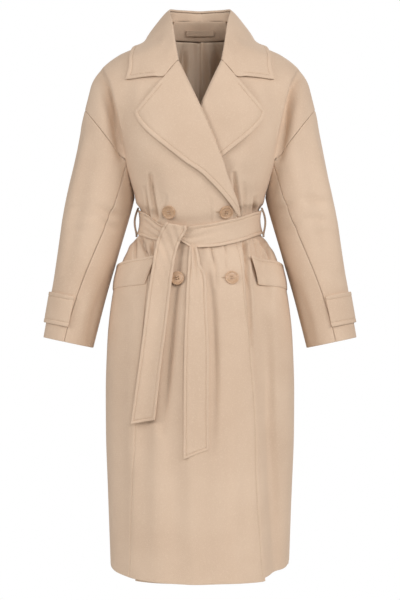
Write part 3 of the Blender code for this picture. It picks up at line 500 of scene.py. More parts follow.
def side_seam_angle(height: float) -> float:
    """The angle round the body of the seam down the right front's skirt."""
    x = float(SIDE_SEAM.at("from_centre", height))
    return math.atan2(x, -float(front_spot(body_form, x, height)[..., 1]))


RIDGE_END = (0.1764, 0.0, -0.252)  # where the ray that finds the armhole end of the seam starts
RIDGE_LEAN = 38.5  # how many degrees that ray leans outwards


def ridge_ray(r: Array) -> tuple[Array, Array]:
    """The rays that find the shoulder seam, from the side neck at 0 to the armhole at 1."""
    start = mix(vector(NECK_SIDE[0], 0.0, -0.06), vector(*RIDGE_END), r[..., None])
    lean = np.radians(RIDGE_LEAN) * r
    return start, vector(np.sin(lean), 0.0, np.cos(lean))


def front_top(v: float, u: Array, start_low: Array, way_low: Array) -> tuple[Array, Array]:
    """The rays of a front's rows above the valley: they turn from the front to the ridge.

    Args:
        v: the row's place from the valley at 0 to the shoulder seam at 1.
        u: the columns' places from the front's edge at 0 to the side at 1.
        start_low: where the rays of the valley row start.
        way_low: the ways of those rays.

    Returns:
        Starts and ways of this row's rays.
    """
    start_high, way_high = ridge_ray(u)
    height = mix(start_low[0, 2], LAPEL_TOP, min(v / 0.75, 1.0))
    late = max((v - 0.75) / 0.25, 0.0)
    edge = mix(vector(-FRONT_EDGE.at("past_centre", height), 0.0, height), start_high[0], late)
    near = np.clip(1 - u * 1.6, 0, 1)[:, None] ** 2
    start = mix(mix(start_low, start_high, v), edge, near)
    turn = mix(float(smooth(0.35, 1.0, v)), late, near)
    return start, unit(mix(way_low, way_high, turn))


def back_neck_ray(share: Array) -> tuple[Array, Array]:
    """The rays that find the back neckline, from the centre back at 0 to the side neck at 1."""
    turn = share * math.pi / 2
    rise = share**1.5 * math.pi / 2
    side, _ = ridge_ray(np.zeros(1))
    start = mix(vector(0.0, 0.0, 0.026), side[0], share[:, None] ** 1.5)
    start[:, 0] = side[0][0] * np.sin(turn)
    return start, vector(0.0 * rise, np.cos(rise), np.sin(rise))


def back_top(v: float, u: Array, start_low: Array, way_low: Array) -> tuple[Array, Array]:
    """The rays of half a back's rows above the valley: to the neckline and the ridge.

    Args:
        v: the row's place from the valley at 0 to the shoulder seam at 1.
        u: the columns' places from the centre back at 0 to the side at 1.
        start_low: where the rays of the valley row start.
        way_low: the ways of those rays.

    Returns:
        Starts and ways of this row's rays.
    """
    start_neck, way_neck = back_neck_ray(np.clip(u / NECK_SHARE, 0, 1))
    start_ridge, way_ridge = ridge_ray(np.clip((u - NECK_SHARE) / (1 - NECK_SHARE), 0, 1))
    is_neck = (u < NECK_SHARE)[:, None]
    turn = float(smooth(0.35, 1.0, v))
    start = mix(start_low, np.where(is_neck, start_neck, start_ridge), v)
    return start, unit(mix(way_low, np.where(is_neck, way_neck, way_ridge), turn))


def panel_row(
    side: Side, face: Face, edge_height: float, side_height: float, end: float, drop: float
) -> Array:
    """One row of a front or half a back below the valley.

    Args:
        side: the wearer's side.
        face: front or back.
        edge_height: the row's height at the middle of the coat.
        side_height: its height at the side.
        end: the angle round the body at which the row ends.
        drop: how much lower the hem hangs in the middle.

    Returns:
        The row's points, at +X.
    """
    u = np.linspace(0.0, 1.0, COLUMNS[face])
    spread = mix(u, np.sin(u * np.pi / 2), 0.35)
    start = edge_angle(edge_height) if face is Face.FRONT else 0.0
    angle = mix(start, end, spread)
    if side is Side.RIGHT and face is Face.FRONT:
        seam = mix(angle[SIDE_SEAM_COLUMN], side_seam_angle(edge_height), smooth(-0.41, -0.52, edge_height))
        marks = (start, angle[SIDE_SEAM_COLUMN], end)
        angle = np.interp(angle, marks, (start, seam, end))
    height = mix(edge_height, side_height, u) - hem_drop(angle, drop)
    way = vector(np.sin(angle), face.value * np.cos(angle), 0.0)
    return reach_form(mirrored(body_form, side), vector(0.0, 0.0, height), way)


def panel_grid(side: Side, face: Face) -> Array:
    """A front, or half a back, as coarse rows of points from the hem up to the shoulder seam.

    Args:
        side: the wearer's side.
        face: front or back.

    Returns:
        Rows and columns of points on the form, worked out at +X.
    """
    coat = mirrored(coat_form, side)
    top_rays = front_top if face is Face.FRONT else back_top
    u = np.linspace(0.0, 1.0, COLUMNS[face])
    rows = []
    for height in LOW_ROWS[::-1]:
        level = HEM_DROP[face] * float(smooth(-0.7, HEM, height))
        rows.append(panel_row(side, face, height, height, np.pi / 2, level))
    for v in np.arange(1, VALLEY_ROWS + 1) / VALLEY_ROWS:
        height = mix(UNDERARM, VALLEY, v)
        middle = mix(UNDERARM, VALLEY + 0.03, v)
        rows.append(panel_row(side, face, middle, height, valley_angle(height, face), 0.0))
    start_low = rows[-1] * np.array((1.0, 0.0, 1.0))
    way_low = vector(0.0 * u, face.value, 0.0)
    for v in TOP_STEPS:
        rows.append(reach_form(coat, *top_rays(v, u, start_low, way_low)))
    return relaxed(np.array(rows), coat, RING_START + VALLEY_ROWS, face is Face.BACK)


def relaxed(grid: Array, form: FormFunction, first: int, middle_slides: bool) -> Array:
    """Spreads the points above a row evenly over the form. The seams stay where they are."""
    grid = grid.copy()
    for _ in range(RELAXING):
        top = grid[first:]
        inner = (top[:-2, 1:-1] + top[2:, 1:-1] + top[1:-1, :-2] + top[1:-1, 2:]) / 4
        edge = (top[:-2, 0] + top[2:, 0]) / 2
        top[1:-1, 1:-1] = onto(inner, form)
        if middle_slides:
            top[1:-1, 0] = onto(edge, form)
            top[1:-1, 0, 0] = 0.0
    return grid


def body_share(rows: Array) -> Array:
    """How much of the whole coat's form, not the body's alone, rules at a panel's row."""
    return np.clip((rows - RING_START - VALLEY_ROWS) / 2, 0, 1)


def sink_of(points: Array) -> Array:
    """How deep the left front lies under the right one, given points at +X."""
    x, z = points[..., 0], points[..., 2]
    line = FRONT_EDGE.at("past_centre", z)
    full = SINK_LAYER + (ON_PANEL + UNDER_LAPEL) * smooth(-0.43, -0.39, z)
    return full * (1 - smooth(line, line + 0.08, x)) * smooth(-0.08, -0.17, z)


# ---------------------------------------------------------------- finishes


@dataclass(frozen=True)
class WoolCloth:
    """Brushed wool coating: a felted face over a fine twill, with a soft sheen."""

    name: str = "wool coating"
    light: tuple[float, float, float] = (0.664, 0.508, 0.38)
    dark: tuple[float, float, float] = (0.61, 0.455, 0.334)
    fleck: tuple[float, float, float] = (0.765, 0.625, 0.49)
    roughness: float = 0.92
    sheen: float = 0.18
    twill: float = 0.0011  # one rib of the twill, in metres

    def material(self) -> bpy.types.Material:
        """The cloth's material, with colour and nap that vary from place to place."""
        tree = NodeTree(self.name)
        where = tree.add("ShaderNodeTexCoord").outputs["Object"]
        cloud = tree.noise(where, scale=9.0, detail=3.0)
        nap = tree.noise(where, scale=420.0, detail=4.0)
        fibre = tree.noise(tree.scaled(where, (900.0, 900.0, 260.0)), scale=1.0, detail=3.0)
        ribs = tree.add("ShaderNodeTexWave", bands_direction="DIAGONAL")
        tree.join(where, ribs.inputs["Vector"])
        tree.fill(ribs, {"Scale": 0.16 / self.twill, "Distortion": 2.5, "Detail": 2.0, "Detail Scale": 3.0})
        base = tree.blend_colours(tree.spread(cloud, 0.3, 0.7), self.dark, self.light)
        flecks = tree.spread(nap, 0.5, 0.8)
        colour = tree.blend_with(tree.multiply(flecks, 0.45), base, self.fleck)
        shade = tree.spread(fibre, 0.25, 0.45)
        colour = tree.blend_with(tree.multiply(tree.invert(shade), 0.22), colour, self.dark)
        tree.paint(colour)
        tree.bump(tree.sum(tree.multiply(ribs.outputs["Fac"], 0.35), tree.sum(nap, fibre)), 0.26, 0.0006)
        tree.fill(tree.shader, {"Roughness": self.roughness, "Specular IOR Level": 0.18})
        sheen = {"Sheen Weight": self.sheen, "Sheen Roughness": 0.45, "Sheen Tint": (1.0, 0.93, 0.85, 1.0)}
        tree.fill(tree.shader, sheen)
        return tree.material


@dataclass(frozen=True)
class SatinLining:
    """Smooth woven lining with fine upright threads."""

    name: str = "satin lining"
    light: tuple[float, float, float] = (0.86, 0.7, 0.55)
    dark: tuple[float, float, float] = (0.8, 0.63, 0.48)
    roughness: float = 0.46

    def material(self) -> bpy.types.Material:
        """The lining's material: fine threads and a long soft gloss."""
        tree = NodeTree(self.name)
        where = tree.add("ShaderNodeTexCoord").outputs["Object"]
        threads = tree.noise(tree.scaled(where, (1600.0, 1600.0, 60.0)), scale=1.0, detail=2.0)
        cloud = tree.noise(where, scale=14.0, detail=2.0)
        mixed = tree.sum(tree.multiply(threads, 0.5), tree.multiply(cloud, 0.5))
        tree.paint(tree.blend_colours(tree.spread(mixed, 0.35, 0.65), self.dark, self.light))
        tree.bump(threads, 0.1, 0.0003)
        gloss = {"Roughness": self.roughness, "Anisotropic": 0.4, "Specular IOR Level": 0.35}
        tree.fill(tree.shader, gloss)
        return tree.material


@dataclass(frozen=True)
class HornResin:
    """Horn-coloured resin: cloudy streaks under a satin polish."""

    name: str = "horn resin"
    light: tuple[float, float, float] = (0.57, 0.375, 0.235)
    dark: tuple[float, float, float] = (0.47, 0.29, 0.17)
    roughness: float = 0.3

    def material(self) -> bpy.types.Material:
        """The button's material."""
        tree = NodeTree(self.name)
        where = tree.add("ShaderNodeTexCoord").outputs["Object"]
        streaks = tree.noise(tree.scaled(where, (60.0, 200.0, 190.0)), scale=1.0, detail=5.0, distortion=1.4)
        scratches = tree.noise(tree.scaled(where, (1800.0, 400.0, 900.0)), scale=1.0, detail=2.0)
        tree.paint(tree.blend_colours(tree.spread(streaks, 0.36, 0.66), self.dark, self.light))
        wear = tree.add("ShaderNodeMapRange")
        tree.join(scratches, wear.inputs["Value"])
        tree.fill(wear, {"To Min": self.roughness - 0.06, "To Max": self.roughness + 0.14})
        tree.join(wear.outputs["Result"], tree.shader.inputs["Roughness"])
        tree.bump(scratches, 0.05, 0.0002)
        tree.fill(tree.shader, {"Coat Weight": 0.25, "Coat Roughness": 0.22})
        return tree.material


@dataclass(frozen=True)
class SewingThread:
    """Twisted sewing thread, a shade off the cloth."""

    name: str = "sewing thread"
    light: tuple[float, float, float] = (0.64, 0.48, 0.34)
    dark: tuple[float, float, float] = (0.47, 0.325, 0.215)
    roughness: float = 0.62

    def material(self) -> bpy.types.Material:
        """The thread's material, with its twist as fine slanting bands."""
        tree = NodeTree(self.name)
        where = tree.add("ShaderNodeTexCoord").outputs["Object"]
        twist = tree.add("ShaderNodeTexWave", bands_direction="DIAGONAL")
        tree.join(where, twist.inputs["Vector"])
        tree.fill(twist, {"Scale": 520.0, "Distortion": 1.0})
        tree.paint(tree.blend_colours(twist.outputs["Fac"], self.dark, self.light))
        tree.bump(twist.outputs["Fac"], 0.25, 0.0002)
        tree.fill(tree.shader, {"Roughness": self.roughness})
        return tree.material


class NodeTree:
    """A new material with short ways to add and join its nodes."""

    def __init__(self, name: str) -> None:
        """Makes the material with its Principled shader."""
        self.material = bpy.data.materials.new(name)
        self.material.use_nodes = True
        self.nodes = self.material.node_tree.nodes
        self.shader = self.nodes["Principled BSDF"]

    def add(self, kind: str, **settings: str) -> bpy.types.Node:
        """Adds a node of a kind, with its settings."""
        node = self.nodes.new(kind)
        for key, value in settings.items():
            setattr(node, key, value)
        return node

    def join(self, output: Socket, socket: Socket) -> None:
        """Links an output to an input."""
        self.material.node_tree.links.new(output, socket)

    def paint(self, colour: Socket) -> None:
        """Gives the surface its colour."""
        self.join(colour, self.shader.inputs["Base Color"])

    @staticmethod
    def fill(node: bpy.types.Node, values: dict[str | int, object]) -> None:
        """Sets inputs of a node, by their names or numbers."""
        for key, value in values.items():
            node.inputs[key].default_value = value

    def scaled(self, where: Socket, scale: tuple[float, float, float]) -> Socket:
        """The place stretched along each axis by a scale."""
        node = self.add("ShaderNodeMapping")
        self.join(where, node.inputs["Vector"])
        self.fill(node, {"Scale": scale})
        return node.outputs["Vector"]

    def noise(self, where: Socket, scale: float, detail: float, distortion: float = 0.0) -> Socket:
        """A noise of a scale, with its detail and distortion."""
        node = self.add("ShaderNodeTexNoise")
        self.join(where, node.inputs["Vector"])
        self.fill(node, {"Scale": scale, "Detail": detail, "Distortion": distortion})
        return node.outputs["Fac"]

    def math(self, operation: str, first: Socket, second: float | Socket) -> Socket:
        """A sum or product of an output with a number or another output."""
        node = self.add("ShaderNodeMath", operation=operation)
        self.join(first, node.inputs[0])
        if isinstance(second, float):
            self.fill(node, {1: second})
        else:
            self.join(second, node.inputs[1])
        return node.outputs[0]

    def multiply(self, value: Socket, factor: float) -> Socket:
        """A value times a number."""
        return self.math("MULTIPLY", value, factor)

    def sum(self, first: Socket, second: Socket) -> Socket:
        """Two values added."""
        return self.math("ADD", first, second)

    def invert(self, value: Socket) -> Socket:
        """One less the value."""
        node = self.add("ShaderNodeMath", operation="SUBTRACT")
        self.fill(node, {0: 1.0})
        self.join(value, node.inputs[1])
        return node.outputs[0]

    def spread(self, value: Socket, low: float, high: float) -> Socket:
        """The value spread so that low becomes 0 and high becomes 1."""
        node = self.add("ShaderNodeMapRange")
        self.join(value, node.inputs["Value"])
        self.fill(node, {"From Min": low, "From Max": high})
        return node.outputs["Result"]

    def blend_colours(self, share: Socket, first: Sequence[float], second: Sequence[float]) -> Socket:
        """A colour between two fixed ones."""
        node = self.add("ShaderNodeMix", data_type="RGBA")
        self.join(share, node.inputs[0])
        self.fill(node, {6: (*first, 1.0), 7: (*second, 1.0)})
        return node.outputs[2]

    def blend_with(self, share: Socket, colour: Socket, second: Sequence[float]) -> Socket:
        """A colour between an output's and a fixed one."""
        node = self.add("ShaderNodeMix", data_type="RGBA")
        self.join(share, node.inputs[0])
        self.join(colour, node.inputs[6])
        self.fill(node, {7: (*second, 1.0)})
        return node.outputs[2]

    def bump(self, height: Socket, strength: float, distance: float) -> None:
        """Lets a height ruffle the surface."""
        node = self.add("ShaderNodeBump")
        self.fill(node, {"Strength": strength, "Distance": distance})
        self.join(height, node.inputs["Height"])
        self.join(node.outputs["Normal"], self.shader.inputs["Normal"])


# ---------------------------------------------------------------- cloth shells

ROLL = 0.0014  # how far in from an edge the cloth starts to round over
ROLL_SHARE = 0.94  # how much of the wall the rounding takes away at the very edge
SEAM_REACH = 0.0034  # how far from a seam the cloth starts to sink
SEAM_DIP = 0.0011  # how deep it lies at the seam
STITCH_WIDTH = 0.0009
STITCH_DIP = 0.0008
STITCH_FADE = 0.01  # share of an edge over which a line's dip starts and ends
BEAD = 0.0007  # how far cloth puffs up between a stitch line and its edge
CURL_REACH = 0.014  # how far in from an edge its curl reaches
# Where the fine grid has lines: on both sides of a pinned line, and in from each kind of edge.
NEAR_PIN = (-0.0034, -0.0018, -0.0008, 0.0, 0.0008, 0.0018, 0.0034)
NEAR = {
    Edge.FREE: (0.0, 0.00015, 0.0004, 0.0008, 0.0014),
    Edge.SEAM: (0.0, 0.0008, 0.0018, 0.0034),
    Edge.HIDDEN: (0.0,),
}


@dataclass(frozen=True)
class Crease:
    """A soft trough in the cloth, along points seen from the front or the back.

    A ridge has a negative depth. It fades out at both ends, unless a seam or the belt holds one.
    """

    path: tuple[tuple[float, float], ...]
    width: float
    depth: float
    left: float = 1.0  # what the width is multiplied by on the left of the path, looking along it
    right: float = 1.0
    start: float = 0.08  # where on an arch of 0 to 1 its depth starts and ends: 0.5 is full depth
    end: float = 0.92
    lips: float = 0.0  # how strongly the cloth rises on both sides of it

    def push(self, x: Array, z: Array) -> Array:
        """How far it pushes the cloth in at places seen from its own face."""
        points = np.array(self.path)
        lengths = np.linalg.norm(np.diff(points, axis=0), axis=1)
        starts = np.concatenate([[0.0], np.cumsum(lengths)])
        best = np.full(x.shape, 1e9)
        along, turn = np.zeros(x.shape), np.zeros(x.shape)
        for k, length in enumerate(lengths):
            way = (points[k + 1] - points[k]) / length
            t = np.clip((x - points[k, 0]) * way[0] + (z - points[k, 1]) * way[1], 0.0, length)
            away = np.hypot(x - points[k, 0] - t * way[0], z - points[k, 1] - t * way[1])
            nearer = away < best
            best = np.where(nearer, away, best)
            along = np.where(nearer, starts[k] + t, along)
            turn = np.where(nearer, way[0] * (z - points[k, 1]) - way[1] * (x - points[k, 0]), turn)
        share = along / starts[-1]
        width = self.width * np.where(turn > 0, self.left, self.right)
        fade = np.sin(np.pi * mix(self.start, self.end, share)) ** 0.8
        square = (best / width) ** 2
        return self.depth * fade * np.exp(-square) * (1 - self.lips * square)


def lengths_along(grid: Array, axis: int) -> Array:
    """How far each point lies along its own line of a grid, in metres."""
    step = np.linalg.norm(np.diff(grid, axis=axis), axis=-1)
    total = np.cumsum(step, axis=axis)
    return np.concatenate([np.zeros_like(np.take(total, [0], axis=axis)), total], axis=axis)


def positions(
    cum: Array, step: float, start: Sequence[float], end: Sequence[float], pins: Sequence[int]
) -> Array:
    """Where fine points go along each line of a coarse grid.

    Args:
        cum: the coarse points' lengths along each line, lines by points.
        step: the distance between fine points away from the edges.
        start: distances from the first edge at which there is a fine point, from 0 up.
        end: the same from the last edge.
        pins: coarse points that a fine point must fall on.

    Returns:
        Lengths of the fine points, lines by fine points.
    """
    total = cum[:, -1:]
    squeeze = np.minimum(1.0, 0.45 * total / max(start[-1], end[-1], 1e-9))
    blocks = [np.array(start) * squeeze]
    blocks += [cum[:, p : p + 1] + np.array(NEAR_PIN) for p in pins]
    blocks.append(total - np.array(end[::-1]) * squeeze)
    parts = [blocks[0]]
    for a, b in zip(blocks, blocks[1:]):
        gap = b[:, :1] - a[:, -1:]
        count = max(2, round(float(gap.mean()) / step))
        parts.append(a[:, -1:] + gap * np.arange(1, count) / count)
        parts.append(b)
    return np.concatenate(parts, axis=1)


def cubic(lines: Array, where: Array) -> Array:
    """Points on smooth curves through lines of coarse points.

    Args:
        lines: coarse points, lines by points by values.
        where: places along each line, counted in coarse points.

    Returns:
        Lines by places by values.
    """
    before = 2 * lines[:, :1] - lines[:, 1:2]
    after = 2 * lines[:, -1:] - lines[:, -2:-1]
    padded = np.concatenate([before, lines, after], axis=1)
    i = np.clip(np.floor(where).astype(int), 0, lines.shape[1] - 2)
    t = (where - i)[..., None]
    row = np.arange(len(lines))[:, None]
    a, b, c, d = (padded[row, i + k] for k in range(4))
    return b + 0.5 * t * (c - a + t * (2 * a - 5 * b + 4 * c - d + t * (3 * (b - c) + d - a)))


def refine(grids: Sequence[Array], axis: int, **spacing) -> list[Array]:
    """Draws grids finer along one axis, all at the same places.

    Args:
        grids: coarse grids of one size; the first rules the spacing.
        axis: 0 for along the columns, 1 for along the rows.
        **spacing: what positions takes.

    Returns:
        The finer grids.
    """
    turned = [np.swapaxes(g, 0, 1) if axis == 0 else g for g in grids]
    cum = lengths_along(turned[0], 1)
    fine = positions(cum, **spacing)
    index = np.array([np.interp(f, c, np.arange(len(c))) for f, c in zip(fine, cum)])
    done = [cubic(g, index) for g in turned]
    return [np.swapaxes(g, 0, 1) if axis == 0 else g for g in done]


def sheet_size(grid: Array, cells: Array) -> tuple[float, float, float]:
    """The width, length and area of the cut that a grid's cells come from, laid flat."""
    width = float(lengths_along(grid, 1)[:, -1].max())
    length = float(lengths_along(grid, 0)[-1].max())
    a, b = grid[1:, 1:] - grid[:-1, :-1], grid[1:, :-1] - grid[:-1, 1:]
    area = float((np.linalg.norm(np.cross(a, b), axis=-1) * cells).sum() / 2)
    return width, length, area


class Workshop:
    """Makes the finishes once and keeps the threads that the pieces are sewn with."""

    def __init__(self) -> None:
        """Makes the coat's finishes."""
        self.wool = WoolCloth().material()
        self.lining = SatinLining().material()
        self.horn = HornResin().material()
        self.thread = SewingThread().material()

    def add(self, name: str, points: Array, faces: list, finish: bpy.types.Material) -> bpy.types.Object:
        """Adds a smooth-shaded object from points and faces.

        Args:
            name: the piece's name.
            points: its points.
            faces: its faces, turned outwards or all inwards.
            finish: its material.

        Returns:
            The object.
        """
        mesh = bpy.data.meshes.new(name)
        mesh.from_pydata([tuple(p) for p in np.asarray(points, float)], [], faces)
        mesh.materials.append(finish)
        corners = np.array([face[:3] for face in faces])
        spare = np.array([(f[0], f[2], f[3]) if len(f) == 4 else (f[0],) * 3 for f in faces])
        volume = 0.0
        for trio in (corners, spare):
            a, b, c = (points[trio[:, k]] for k in range(3))
            volume += float((a * np.cross(b, c)).sum())
        if volume < 0:
            mesh.flip_normals()
        mesh.validate()
        mesh.shade_smooth()
        piece = bpy.data.objects.new(name, mesh)
        bpy.context.scene.collection.objects.link(piece)
        return piece


@dataclass(frozen=True)
class Stitching:
    """A line of topstitching along an edge: its distance, and the share of the edge it covers."""

    away: float
    first: float = 0.0
    last: float = 1.0


@dataclass
class Shell:
    """A thin cloth shell, drawn fine from the coarse grids of its outer and inner faces.

    Edges are given in the order low, high, start, end: the first row, the last row, the first
    column and the last column.
    """

    name: str
    outer: Array
    inner: Array
    side: Side
    edges: tuple[Edge, Edge, Edge, Edge]
    step: float = 0.006
    stitched: dict[int, Stitching] = field(default_factory=dict)  # by the edge's number
    row_pins: tuple[int, ...] = ()
    column_pins: tuple[int, ...] = ()
    base: Callable[[Array, Array], Array] | None = None
    relief: Callable[[Array, Array], Array] | None = None  # of points and their coarse rows
    roll: float = ROLL
    curl: float = 0.0  # how far the free edges stand off what they lie on
    corner_radius: float = 0.0035
    also: tuple[str, ...] = ()  # further solids that it stands for
    stitches: list[Array] = field(default_factory=list)

    def marks(self, number: int) -> tuple[float, ...]:
        """Distances from an edge at which the fine grid has a line."""
        near = NEAR[self.edges[number]]
        if number in self.stitched:
            away = self.stitched[number].away
            near = (*near, *(away + k * STITCH_WIDTH for k in (-1.5, -0.7, 0.0, 0.7, 1.5)))
        return near

    def draw(self) -> None:
        """Draws both faces fine, and moves them for edges, seams, stitch lines and creases."""
        grids = [self.outer, self.inner]
        down = {"step": self.step, "start": self.marks(0), "end": self.marks(1), "pins": self.row_pins}
        across = {"step": self.step, "start": self.marks(2), "end": self.marks(3), "pins": self.column_pins}
        index = np.stack(np.indices(self.outer.shape[:2]), axis=-1).astype(float)
        grids = refine([*grids, index], 0, **down)
        outer, inner, self.index = refine(grids, 1, **across)
        out = outer - inner
        wall = np.linalg.norm(out, axis=-1, keepdims=True)
        if self.base is not None:
            outer = self.base(outer, self.index[..., 0])
            inner = outer - out
        out = out / np.maximum(wall, 1e-9)
        if self.relief is not None:
            push = self.relief(outer * self.side.turn, self.index[..., 0])[..., None]
            outer, inner = outer - out * push, inner - out * push
        across_at, down_at = lengths_along(outer, 1), lengths_along(outer, 0)
        away = (down_at, down_at[-1:] - down_at, across_at, across_at[:, -1:] - across_at)
        dip, thin = np.zeros(outer.shape[:2]), np.zeros(outer.shape[:2])
        rise, beads = np.zeros(outer.shape[:2]), np.zeros(outer.shape[:2])
        for number, distance in enumerate(away):
            if self.edges[number] is Edge.FREE:
                x = np.clip(1 - distance / self.roll, 0, 1)
                thin = np.maximum(thin, 1 - np.sqrt(1 - x * x))
            elif self.edges[number] is Edge.SEAM:
                dip = np.maximum(dip, SEAM_DIP * np.clip(1 - distance / SEAM_REACH, 0, 1) ** 2)
            if number in self.stitched:
                line_dip, curl, bead = self.stitch_effects(number, away)
                dip = np.maximum(dip, line_dip)
                rise = np.maximum(rise, curl)
                beads = np.maximum(beads, bead)
        dip = dip - beads + self.pinned_seams(outer)
        cut_off = self.rounded_corners(outer, away)
        outer, inner = outer + cut_off, inner + cut_off
        turned_in = out * (thin[..., None] * wall * ROLL_SHARE / 2)
        self.fine_outer = outer + out * (rise - dip)[..., None] - turned_in
        self.fine_inner = inner + out * rise[..., None] + turned_in
        self.out = out
        self.uv = np.stack([across_at, down_at], axis=-1)
        for number in self.stitched:
            self.stitches.append(self.line_at(number))

    def stitch_effects(self, number: int, away: Sequence[Array]) -> tuple[Array, Array, Array]:
        """What a line of stitching does to the cloth beside it.

        Args:
            number: the number of its edge.
            away: how far each point lies from each edge.

        Returns:
            The dip at the line, the curl of the edge and the puff of the cloth between them.
        """
        line, distance = self.stitched[number], away[number]
        first, last = (2, 3) if number < 2 else (0, 1)
        share = away[first] / (away[first] + away[last])
        covered = smooth(line.first - STITCH_FADE, line.first, share)
        covered = covered * smooth(line.last + STITCH_FADE, line.last, share)
        dip = STITCH_DIP * covered * np.exp(-(((distance - line.away) / STITCH_WIDTH) ** 2))
        for other, crossing in self.stitched.items():
            if (other < 2) != (number < 2):
                dip = dip * smooth(0.8 * crossing.away, crossing.away, away[other])
        curl = self.curl * covered * np.exp(-((distance / CURL_REACH) ** 2))
        bead = np.sin(np.pi * np.clip(distance / line.away, 0, 1)) * (distance < line.away)
        return dip, curl, BEAD * covered * bead

    def rounded_corners(self, outer: Array, away: Sequence[Array]) -> Array:
        """How each point moves so that the corners between two free edges are round."""
        move = np.zeros(outer.shape)
        down = unit(np.gradient(outer, axis=0))
        across = unit(np.gradient(outer, axis=1))
        for row_edge in (0, 1):
            for column_edge in (2, 3):
                if self.edges[row_edge] is not Edge.FREE or self.edges[column_edge] is not Edge.FREE:
                    continue
                u = np.clip(self.corner_radius - away[row_edge], 0, None)
                v = np.clip(self.corner_radius - away[column_edge], 0, None)
                reach = np.hypot(u, v)
                share = 1 - np.minimum(1.0, self.corner_radius / np.maximum(reach, 1e-9))
                inward = down * (u * (1 if row_edge == 0 else -1))[..., None]
                inward = inward + across * (v * (1 if column_edge == 2 else -1))[..., None]
                move += inward * (share * (u > 0) * (v > 0))[..., None]
        return move

    def pinned_seams(self, outer: Array) -> Numbers:
        """The dip along seams inside the grid; a plain shell has none."""
        return 0.0

    def line_at(self, number: int) -> Array:
        """The line that is stitch distance away from an edge, with its way out: points, 6."""
        k = len(NEAR[self.edges[number]]) + 2
        pick = ((k, slice(None)), (-1 - k, slice(None)), (slice(None), k), (slice(None), -1 - k))[number]
        line = np.concatenate([self.fine_outer[pick], self.out[pick]], axis=-1) * np.tile(self.side.turn, 2)
        at = lengths_along(line[None, :, :3], 1)[0]
        covered = self.stitched[number]
        away = covered.away
        low = max(at[-1] * covered.first, away)
        high = min(at[-1] * covered.last, at[-1] - away)
        return line[(at >= low) & (at <= high)]

    def cells(self) -> Array:
        """Which cells of the fine grid the piece has."""
        rows, columns = self.fine_outer.shape[:2]
        return np.ones((rows - 1, columns - 1), bool)

    def build(self, shop: Workshop, finish: bpy.types.Material) -> bpy.types.Object:
        """Makes the shell's mesh, with its place on the cloth as its UV map.

        Args:
            shop: makes the object.
            finish: the cloth's material.

        Returns:
            The piece.
        """
        rows, columns = self.fine_outer.shape[:2]
        count = rows * columns
        points = np.concatenate([self.fine_outer.reshape(-1, 3), self.fine_inner.reshape(-1, 3)])
        points = points * self.side.turn
        i, j = np.nonzero(self.cells())
        a = i * columns + j
        quads = np.stack([a, a + 1, a + 1 + columns, a + columns], axis=1)
        rim: dict[tuple[int, int], bool] = {}
        for quad in quads.tolist():
            for ends in zip(quad, quad[1:] + quad[:1]):
                if rim.pop(ends[::-1], None) is None:
                    rim[ends] = True
        walls = [(b, a, a + count, b + count) for a, b in rim]
        faces = quads.tolist() + (quads[:, ::-1] + count).tolist() + walls
        used = np.unique(np.array(faces))
        place = np.zeros(2 * count, int)
        place[used] = np.arange(len(used))
        piece = shop.add(f"{self.name}_cloth", points[used], place[np.array(faces)].tolist(), finish)
        flat = np.tile(self.uv.reshape(-1, 2), (2, 1))[used]
        layer = piece.data.uv_layers.new(name="cloth")
        corner = np.empty(len(piece.data.loops), int)
        piece.data.loops.foreach_get("vertex_index", corner)
        layer.data.foreach_set("uv", flat[corner].ravel())
        return piece

    def declare(self, piece: bpy.types.Object, held: str, rests_on: Sequence[str], slot: str) -> None:
        """Attaches the piece to the root body, hides the solids it stands for and logs the size of its cut.

        Args:
            piece: the object.
            held: not used.
            rests_on: not used.
            slot: not used.
        """
        width, length, area = sheet_size(self.fine_outer, self.cells())
        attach(piece, "root")
        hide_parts(self.name, *self.also)
        flat = (round(width, 3), round(length, 3))
        area = round(min(area, flat[0] * flat[1]), 6)
        LOG.info("%s: cut %.3f x %.3f m, %.3f m2", self.name, width, length, area)


# ---------------------------------------------------------------- listed creases


def creases(*rows: Sequence[float], **shape: float) -> list[Crease]:
    """Creases from rows of millimetres: width, depth, and then the path's places in turn.

    Args:
        *rows: one crease each.
        **shape: what else of a crease's shape they share.

    Returns:
        The creases, in metres.
    """
    made = []
    for width, depth, *path in metres(*rows):
        places = tuple(zip(path[::2], path[1::2]))
        made.append(Crease(places, width, depth, **shape))
    return made


